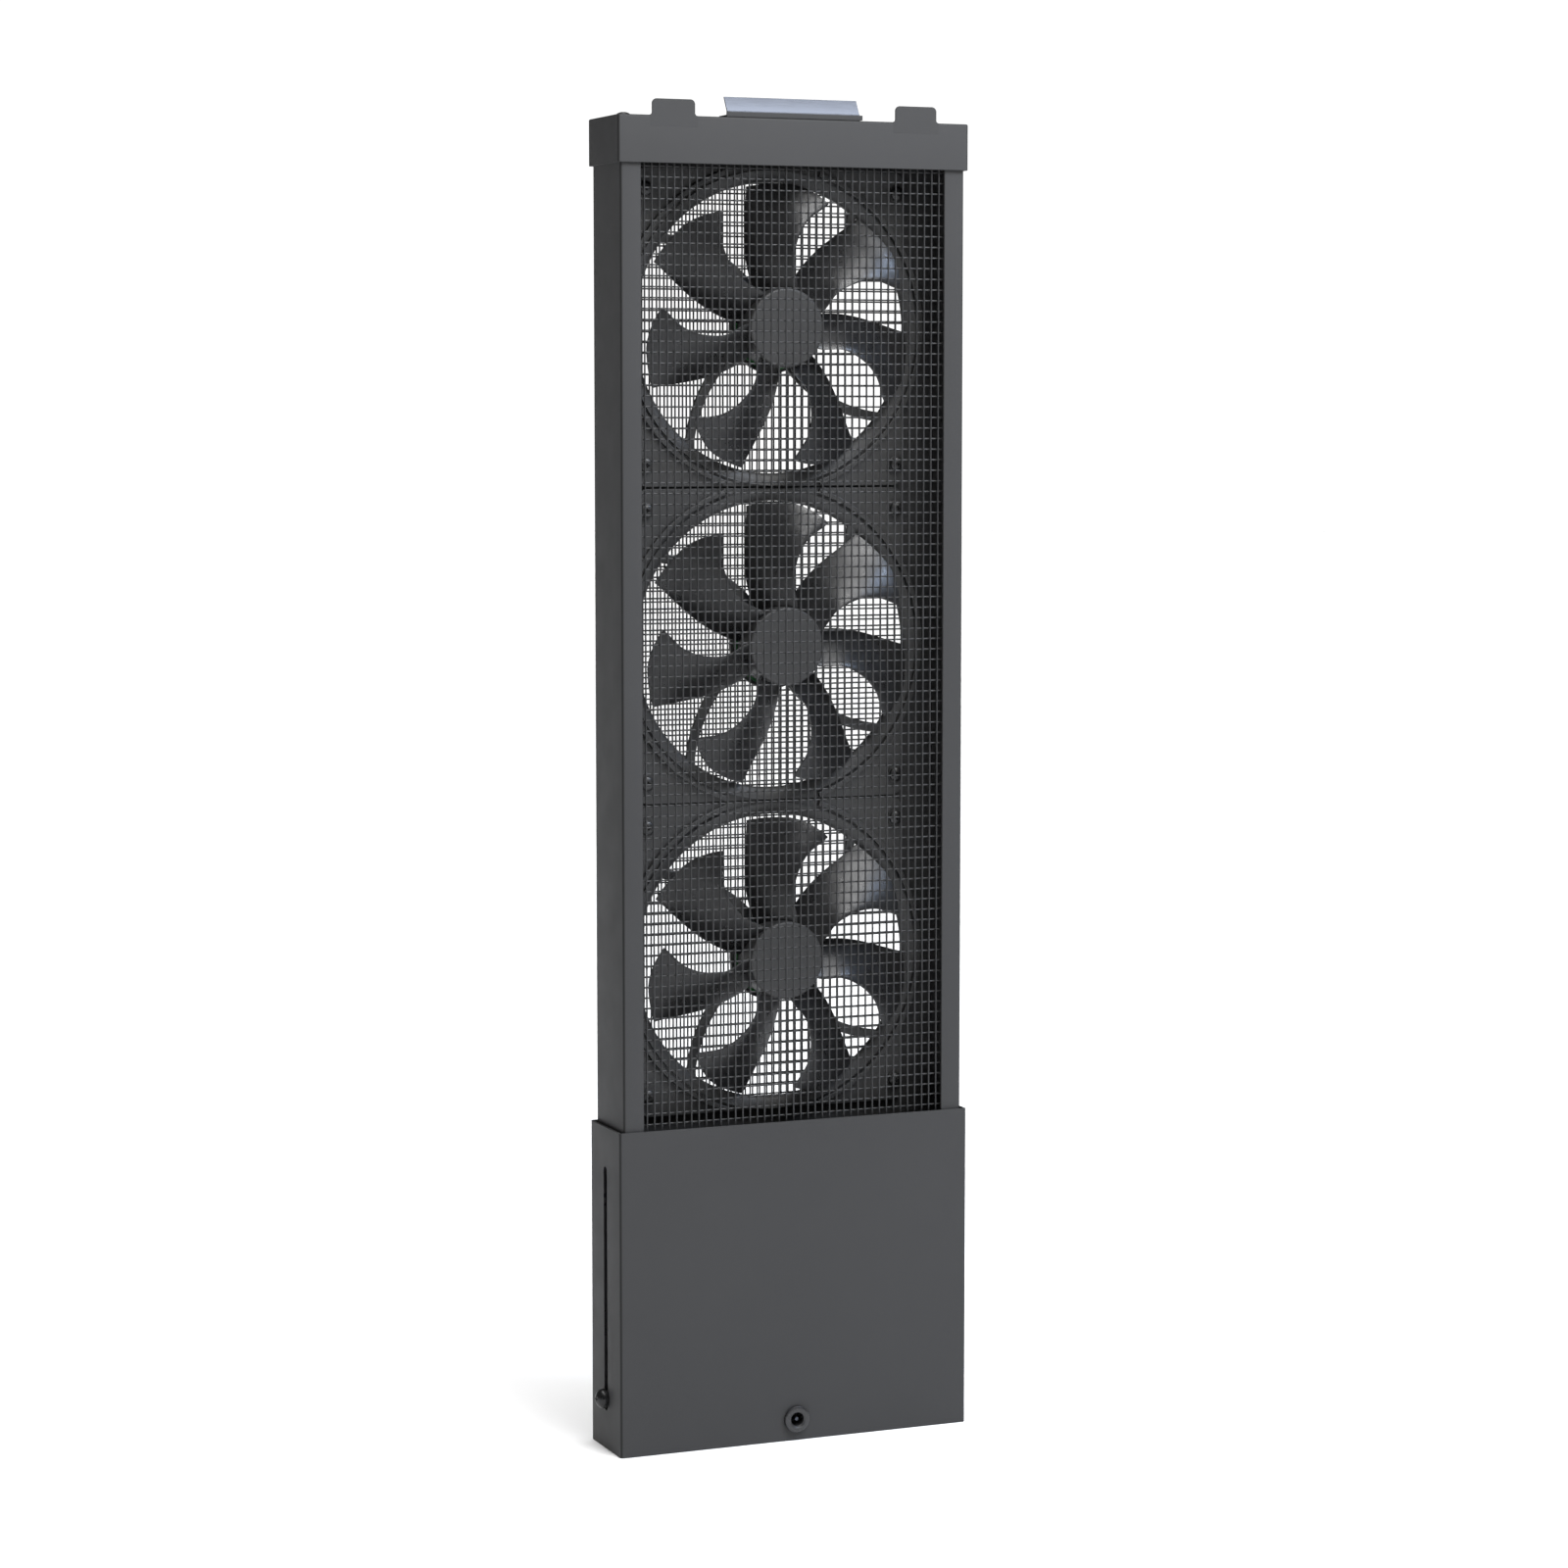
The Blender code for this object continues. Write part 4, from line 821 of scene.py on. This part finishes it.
def build_cap_fasteners():
    """Screws at the ends of the cap, and hollow rivets in the rail."""
    cap_screw = screw("cap_screw", head_radius=0.0038, head_height=0.0028, shank_radius=0.0019,
                      length=0.0033, rim=0.0006, recess=(0.0009, 0.0036, 0.0014))
    profile = [(0, -0.0024), (0.0012, -0.0024), (0.0012, 0), (0.0021, 0), (0.00228, 0.0002),
               (0.0021, 0.0006), (0.0016, 0.0009), (0.0009, 0.00105), (0.0005, 0.00108),
               (0.0004, 0.0007), (0, 0.0007)]
    rivet = turned("rivet", profile, SMALL_FACETS, SCREW_SHARP)
    for name, sx in (("left", -1), ("right", 1)):
        stand_in(name + "_cap_screw", cap_screw,
                 (sx * CAP_SCREW_X, CAP_SCREW_Y, CAP_TOP + GAP), (0, 0, sx * CAP_SCREW_TURN))
        stand_in(name + "_rail_rivet", rivet,
                 (sx * RAIL_RIVET_X, RAIL_REAR - RAIL_RIVET_SETBACK, RAIL_TOP))


def build_clamps():
    head = screw("clamp_screw", head_radius=0.0045, head_height=0.0048, shank_radius=0.0019,
                 length=0.0110, rim=0.0012, recess=(0.0011, 0.0048, 0.0020))
    nut_profile = [(0.0020, 0.0008), (0.0020, -0.0080), (0.0031, -0.0080), (0.0031, 0),
                   (0.0042, 0), (0.0042, 0.0006), (0.0040, 0.0008)]
    nut = turned("rivet_nut", nut_profile, SMALL_FACETS)
    for name, sx in (("left", -1), ("right", 1)):
        turn = (0, sx * math.pi / 2, 0)
        stand_in(name + "_clamp_screw", head,
                 (sx * (SLEEVE_WIDTH / 2 + GAP), 0, CLAMP_HEIGHT), turn)
        stand_in(name + "_rivet_nut", nut, (sx * (FRAME_WIDTH / 2 + GAP), 0, CLAMP_HEIGHT), turn)


# Fans


def duct_ring():
    """Short duct with a rounded mouth, drawn in to the blades' tips."""
    outer = LIP_RADIUS + LIP_HEIGHT / 2
    front = RING_FRONT - LIP_HEIGHT / 3
    rear = FAN_DEPTH - LIP_HEIGHT
    throat = BLADE_TIP + TIP_GAP
    flare = LIP_RADIUS - throat
    deep = RING_FRONT + 2 * LIP_WIDTH - front
    profile = [(outer, front), (LIP_RADIUS + 0.0002, front)]
    for i in range(9):
        angle = i / 8 * math.pi / 2
        profile.append((LIP_RADIUS - flare * math.sin(angle) ** 1.3,
                        front + 0.0001 + (deep - 0.0001) * (1 - math.cos(angle)) ** 0.9))
    profile += [(throat, rear - 0.0003), (throat + 0.0003, rear), (outer, rear)]
    return moved(turned("duct_ring", profile, RING_FACETS), ALONG_Y)


def flange_outline():
    """Flange round the duct: square with rounded corners, bulging out to the rim at the sides."""
    half = EAR_WIDTH / 2
    top = EAR_HEIGHT / 2
    edge = math.acos(half / RIM_RADIUS)
    across = half - EAR_CORNER
    up = top - EAR_CORNER
    points = arc((0, 0), RIM_RADIUS, -edge, edge, 32)
    points += arc((across, up), EAR_CORNER, 0, 0.5 * math.pi, 8)
    points += arc((-across, up), EAR_CORNER, 0.5 * math.pi, math.pi, 8)
    points += arc((0, 0), RIM_RADIUS, math.pi - edge, math.pi + edge, 32)
    points += arc((-across, -up), EAR_CORNER, math.pi, 1.5 * math.pi, 8)
    points += arc((across, -up), EAR_CORNER, 1.5 * math.pi, 2 * math.pi, 8)
    return points


def flange():
    """Flange with a groove beside the rim and a boss under each screw."""
    holes = [circle(place, SCREW_HOLE_RADIUS, FINE_FACETS) for place in ear_screw_places()]
    ring_hole = circle((0, 0), LIP_RADIUS + LIP_HEIGHT / 4, RING_FACETS)
    body = plate("flange", flange_outline(), holes + [ring_hole], EAR_THICK - FLANGE_SETBACK,
                 edge=0.00015)
    parts = [moved(body, upright_plane(RING_FRONT + FLANGE_SETBACK))]
    for place, hole in zip(ear_screw_places(), holes):
        boss = plate("boss", circle(place, BOSS_RADIUS, 32), [hole], FLANGE_SETBACK + 0.0002,
                     edge=0.0003)
        parts.append(moved(boss, upright_plane(RING_FRONT)))
    return joined("flange", parts)


def rim(side):
    """Raised rim on the flange's front, with a rounded top."""
    outer = RIM_RADIUS - 0.0001
    reach = math.asin((EAR_HEIGHT / 2 - GAP) / RIM_RADIUS)
    points = arc((0, 0), outer, -reach, reach, 64)
    points += arc((0, 0), outer - RIM_WIDTH, reach, -reach, 64)
    points = [(side * x, z) for x, z in points]
    bar = plate("rim", points, [], LIP_HEIGHT + EAR_THICK / 2, edge=0.0004)
    return moved(bar, upright_plane(RING_FRONT - LIP_HEIGHT))


def polar(radius, angle):
    return (radius * math.cos(angle), radius * math.sin(angle))


def strut(index):
    inner = MOTOR_RADIUS - STRUT_WIDTH / 2
    outer = DUCT_RADIUS + DUCT_WALL / 2
    end_angle = STRUT_OUTER_ANGLE + index * 2 * math.pi / STRUT_COUNT
    left, right = [], []
    steps = 16
    for i in range(steps + 1):
        share = i / steps
        radius = inner + (outer - inner) * share
        angle = end_angle - STRUT_SWEEP * (1 - share)
        half = STRUT_WIDTH / 2 / radius
        left.append(polar(radius, angle + half))
        right.append(polar(radius, angle - half))
    thick = MOTOR_BASE_THICK - LIP_HEIGHT - 2 * GAP
    bar = plate("strut", left + right[::-1], [], thick, edge=0.0005)
    return moved(bar, upright_plane(MOTOR_FRONT + GAP))


def motor_base():
    rear = FAN_DEPTH - LIP_HEIGHT
    pocket = FAN_DEPTH - MOTOR_BASE_THICK / 2
    profile = [(0, rear - 0.0004), (0.0150, rear - 0.0004), (0.0153, rear), (0.0199, rear),
               (MOTOR_RADIUS, rear - 0.0006), (MOTOR_RADIUS, MOTOR_FRONT + 0.0002),
               (MOTOR_RADIUS - 0.0002, MOTOR_FRONT), (0.0051, MOTOR_FRONT), (0.0051, 0.0077),
               (0.0040, 0.0077), (0.0040, pocket), (0, pocket)]
    return moved(turned("motor_base", profile, HUB_FACETS), ALONG_Y)


def housing():
    parts = [flange(), duct_ring(), rim(-1), rim(1), motor_base()]
    parts += [strut(i) for i in range(STRUT_COUNT)]
    return joined("housing", parts)


# Leading and trailing angle in degrees, and their depths as shares of the fan's depth, at
# equal steps from root to tip
BLADE_STATIONS = (
    (71.6, 122.3, 0.200, 0.704),
    (82.9, 116.7, 0.160, 0.738),
    (82.4, 110.6, 0.160, 0.768),
    (77.4, 105.3, 0.200, 0.784),
    (68.8, 101.9, 0.256, 0.788),
)
BLADE_THICK = 0.0018
BLADE_ROWS = 22
BLADE_COLUMNS = 18
EDGE_SHARE = 0.30
TIP_TAPER = 0.06


def station(share):
    """Values of the blade's stations at a share of its length, by a smooth curve through them."""
    last = len(BLADE_STATIONS) - 1
    at = share * last
    i = min(int(at), last - 1)
    t = at - i
    rows = [BLADE_STATIONS[max(0, min(last, k))] for k in (i - 1, i, i + 1, i + 2)]
    values = []
    for a, b, c, d in zip(*rows):
        values.append(0.5 * (2 * b + (c - a) * t + (2 * a - 5 * b + 4 * c - d) * t * t
                             + (3 * b - a - 3 * c + d) * t * t * t))
    return values


def thickness_share(along):
    """Share of the blade's thickness from its leading to its trailing edge."""
    if not 0 < along < 1:
        return EDGE_SHARE
    return EDGE_SHARE + (1 - EDGE_SHARE) * math.sin(math.pi * along ** 0.75) ** 0.6


def blade(index):
    """Sickle blade: thickest before its middle, thin at its edges and its tip."""
    turn = index * 2 * math.pi / BLADE_COUNT
    root = HUB_RADIUS - 0.0005
    bm = bmesh.new()
    front_face, rear_face = {}, {}
    for i in range(BLADE_ROWS + 1):
        share = i / BLADE_ROWS
        leading, trailing, front, rear = station(share)
        tip = 1 - max(0.0, 1 - (1 - share) / TIP_TAPER) ** 2 * 0.5
        for j in range(BLADE_COLUMNS + 1):
            along = 0.5 - 0.5 * math.cos(math.pi * j / BLADE_COLUMNS)
            corner = BLADE_CORNER_CUT * max(0.0, 1 - 2 * along) ** 1.5
            reach = BLADE_TIP - corner
            radius = root + (reach - root) * share
            angle = math.radians(leading + (trailing - leading) * along) + turn
            depth = FAN_DEPTH * (front + (rear - front) * along ** 1.15)
            half = BLADE_THICK / 2 * thickness_share(along) * tip
            x, z = polar(radius, angle)
            front_face[i, j] = bm.verts.new((x, depth - half, z))
            rear_face[i, j] = bm.verts.new((x, depth + half, z))
    for i in range(BLADE_ROWS):
        for j in range(BLADE_COLUMNS):
            for grid in (front_face, rear_face):
                bm.faces.new((grid[i, j], grid[i + 1, j], grid[i + 1, j + 1], grid[i, j + 1]))
    rim = [(i, 0) for i in range(BLADE_ROWS)]
    rim += [(BLADE_ROWS, j) for j in range(BLADE_COLUMNS)]
    rim += [(i, BLADE_COLUMNS) for i in range(BLADE_ROWS, 0, -1)]
    rim += [(0, j) for j in range(BLADE_COLUMNS, 0, -1)]
    for here, there in zip(rim, rim[1:] + rim[:1]):
        bm.faces.new((front_face[here], front_face[there], rear_face[there], rear_face[here]))
    return finish_mesh(bm, "blade", 40)


def hub():
    rear = MOTOR_FRONT - 0.0012 - 4 * GAP
    front = HUB_SETBACK
    inside = HUB_RADIUS - 0.0010
    profile = [(0, front)]
    profile += [(HUB_RADIUS - HUB_EDGE + HUB_EDGE * math.sin(i / 6 * math.pi / 2),
                 front + HUB_EDGE - HUB_EDGE * math.cos(i / 6 * math.pi / 2)) for i in range(7)]
    profile += [(HUB_RADIUS, rear), (inside, rear), (inside, front + 0.0010),
                (0.0037, front + 0.0010), (0.0037, front + 0.0040), (0.0016, front + 0.0040),
                (0.0016, front + 0.0010), (0, front + 0.0010)]
    return moved(turned("hub", profile, HUB_FACETS), ALONG_Y)


def build_fans():
    centre = hub()
    impeller = joined("impeller", [centre] + [blade(i) for i in range(BLADE_COUNT)])
    impeller.materials.append(FINISH["fan_plastic"])
    impeller.materials.append(BLADE_FINISH)
    for face in impeller.polygons:
        face.material_index = 0 if face.index < len(centre.polygons) else 1
    shell = housing()
    ear_screw = screw("fan_screw", head_radius=0.0034, head_height=0.0020, shank_radius=0.0018,
                      length=0.0059, rim=0.0006, recess=(0.0008, 0.0030, 0.0011))
    ear_screw = moved(ear_screw, Matrix.Rotation(math.pi / 2, 4, "X"))
    ear_screw.materials.append(SCREW_FINISH)
    screw_y = RING_FRONT - 0.0001
    for name, height in FAN_HEIGHTS.items():
        place = Vector((0, FAN_FRONT, height))
        stand_in(name + "_housing", shell, place)
        stand_in(name + "_impeller", impeller, place)
        for i, (x, z) in enumerate(ear_screw_places()):
            stand_in(f"{name}_screw_{i + 1}", ear_screw, place + Vector((x, screw_y, z)))


# Studio

# Name, place, aim, sides, watts and colour of each area light
AREA_LIGHTS = (
    ("key", (0.20, -0.64, 1.22), (0, 0, 0.52), (0.6, 0.6), 16, (1, 1, 1)),
    ("sheen", (1.30, -1.12, 1.85), (0, 0, 0.40), (0.35, 0.35), 22, (0.60, 0.74, 1.0)),
)
FLOOR_RADIUS = 14.0
FLOOR_THICK = 0.01
OVERHEAD_STRENGTH = 3.1
OVERHEAD_SPREAD = math.radians(44)
WORLD_FRONT = 0.22
WORLD_BACK = 0.10
WORLD_STRENGTH = 1.1
CAMERA_SIDE = math.radians(22.5)
CAMERA_DISTANCE = 1.80
CAMERA_HEIGHT = 0.475
CAMERA_AIM = (0.002, 0, 0.304)
CAMERA_LENS = 90.0
SENSOR_WIDTH = 36


def build_floor():
    mesh = plate("floor", circle((0, 0), FLOOR_RADIUS, 96), [], FLOOR_THICK, edge=0.001)
    floor = bpy.data.objects.new("floor", mesh)
    bpy.context.scene.collection.objects.link(floor)
    floor.location = (0, 0, -FLOOR_THICK)
    n = Nodes("floor_finish")
    cloud = n.spread(n.noise(0.8, 2), 0, 1)
    n.link(n.blend(cloud, (0.945, 0.945, 0.945), (0.955, 0.955, 0.955)),
           n.shader.inputs["Base Color"])
    n.value("Roughness", 0.9)
    n.value("Specular IOR Level", 0.1)
    mesh.materials.append(n.material)


def area_light(name, place, target, size, watts, color):
    data = bpy.data.lights.new(name, "AREA")
    data.shape = "RECTANGLE"
    data.size, data.size_y = size
    data.energy = watts
    data.color = color
    item = bpy.data.objects.new(name, data)
    bpy.context.scene.collection.objects.link(item)
    item.location = place
    item.rotation_euler = (Vector(target) - Vector(place)).to_track_quat("-Z", "Y").to_euler()


def overhead_light():
    """Very soft light from straight above, which lifts the floor to the white behind it."""
    data = bpy.data.lights.new("overhead", "SUN")
    data.energy = OVERHEAD_STRENGTH
    data.angle = OVERHEAD_SPREAD
    item = bpy.data.objects.new("overhead", data)
    bpy.context.scene.collection.objects.link(item)
    item.location = (0, 0, 3)


def build_world():
    """Pale surroundings: white as a backdrop, and softer and greyer as a light."""
    world = bpy.data.worlds.new("studio")
    bpy.context.scene.world = world
    world.use_nodes = True
    tree = world.node_tree
    place = tree.nodes.new("ShaderNodeTexCoord")
    split = tree.nodes.new("ShaderNodeSeparateXYZ")
    fade = tree.nodes.new("ShaderNodeMapRange")
    fade.interpolation_type = "SMOOTHSTEP"
    fade.inputs["From Min"].default_value = -0.8
    fade.inputs["From Max"].default_value = 0.2
    fade.inputs["To Min"].default_value = WORLD_FRONT
    fade.inputs["To Max"].default_value = WORLD_BACK
    path = tree.nodes.new("ShaderNodeLightPath")
    backdrop = tree.nodes.new("ShaderNodeMath")
    backdrop.operation = "MAXIMUM"
    tree.links.new(place.outputs["Generated"], split.inputs[0])
    tree.links.new(split.outputs["Y"], fade.inputs["Value"])
    tree.links.new(fade.outputs["Result"], backdrop.inputs[0])
    tree.links.new(path.outputs["Is Camera Ray"], backdrop.inputs[1])
    background = tree.nodes["Background"]
    tree.links.new(backdrop.outputs[0], background.inputs["Color"])
    background.inputs["Strength"].default_value = WORLD_STRENGTH


def build_camera():
    data = bpy.data.cameras.new("camera")
    data.lens = CAMERA_LENS
    data.sensor_width = SENSOR_WIDTH
    camera = bpy.data.objects.new("camera", data)
    bpy.context.scene.collection.objects.link(camera)
    place = Vector((-CAMERA_DISTANCE * math.sin(CAMERA_SIDE),
                    -CAMERA_DISTANCE * math.cos(CAMERA_SIDE), CAMERA_HEIGHT))
    camera.location = place
    camera.rotation_euler = (Vector(CAMERA_AIM) - place).to_track_quat("-Z", "Y").to_euler()
    bpy.context.scene.camera = camera


build_sleeve()
build_socket()
build_channels()
build_members()
build_fan_plate()
build_guard("front", FRONT_UPRIGHTS_Y, FRONT_CROSSWIRES_Y)
build_guard("rear", REAR_UPRIGHTS_Y, REAR_CROSSWIRES_Y)
build_cap()
build_strip()
build_cap_fasteners()
build_clamps()
build_fans()
build_floor()
build_world()
for light in AREA_LIGHTS:
    area_light(*light)
overhead_light()
build_camera()
bpy.context.scene.view_settings.view_transform = "Standard"
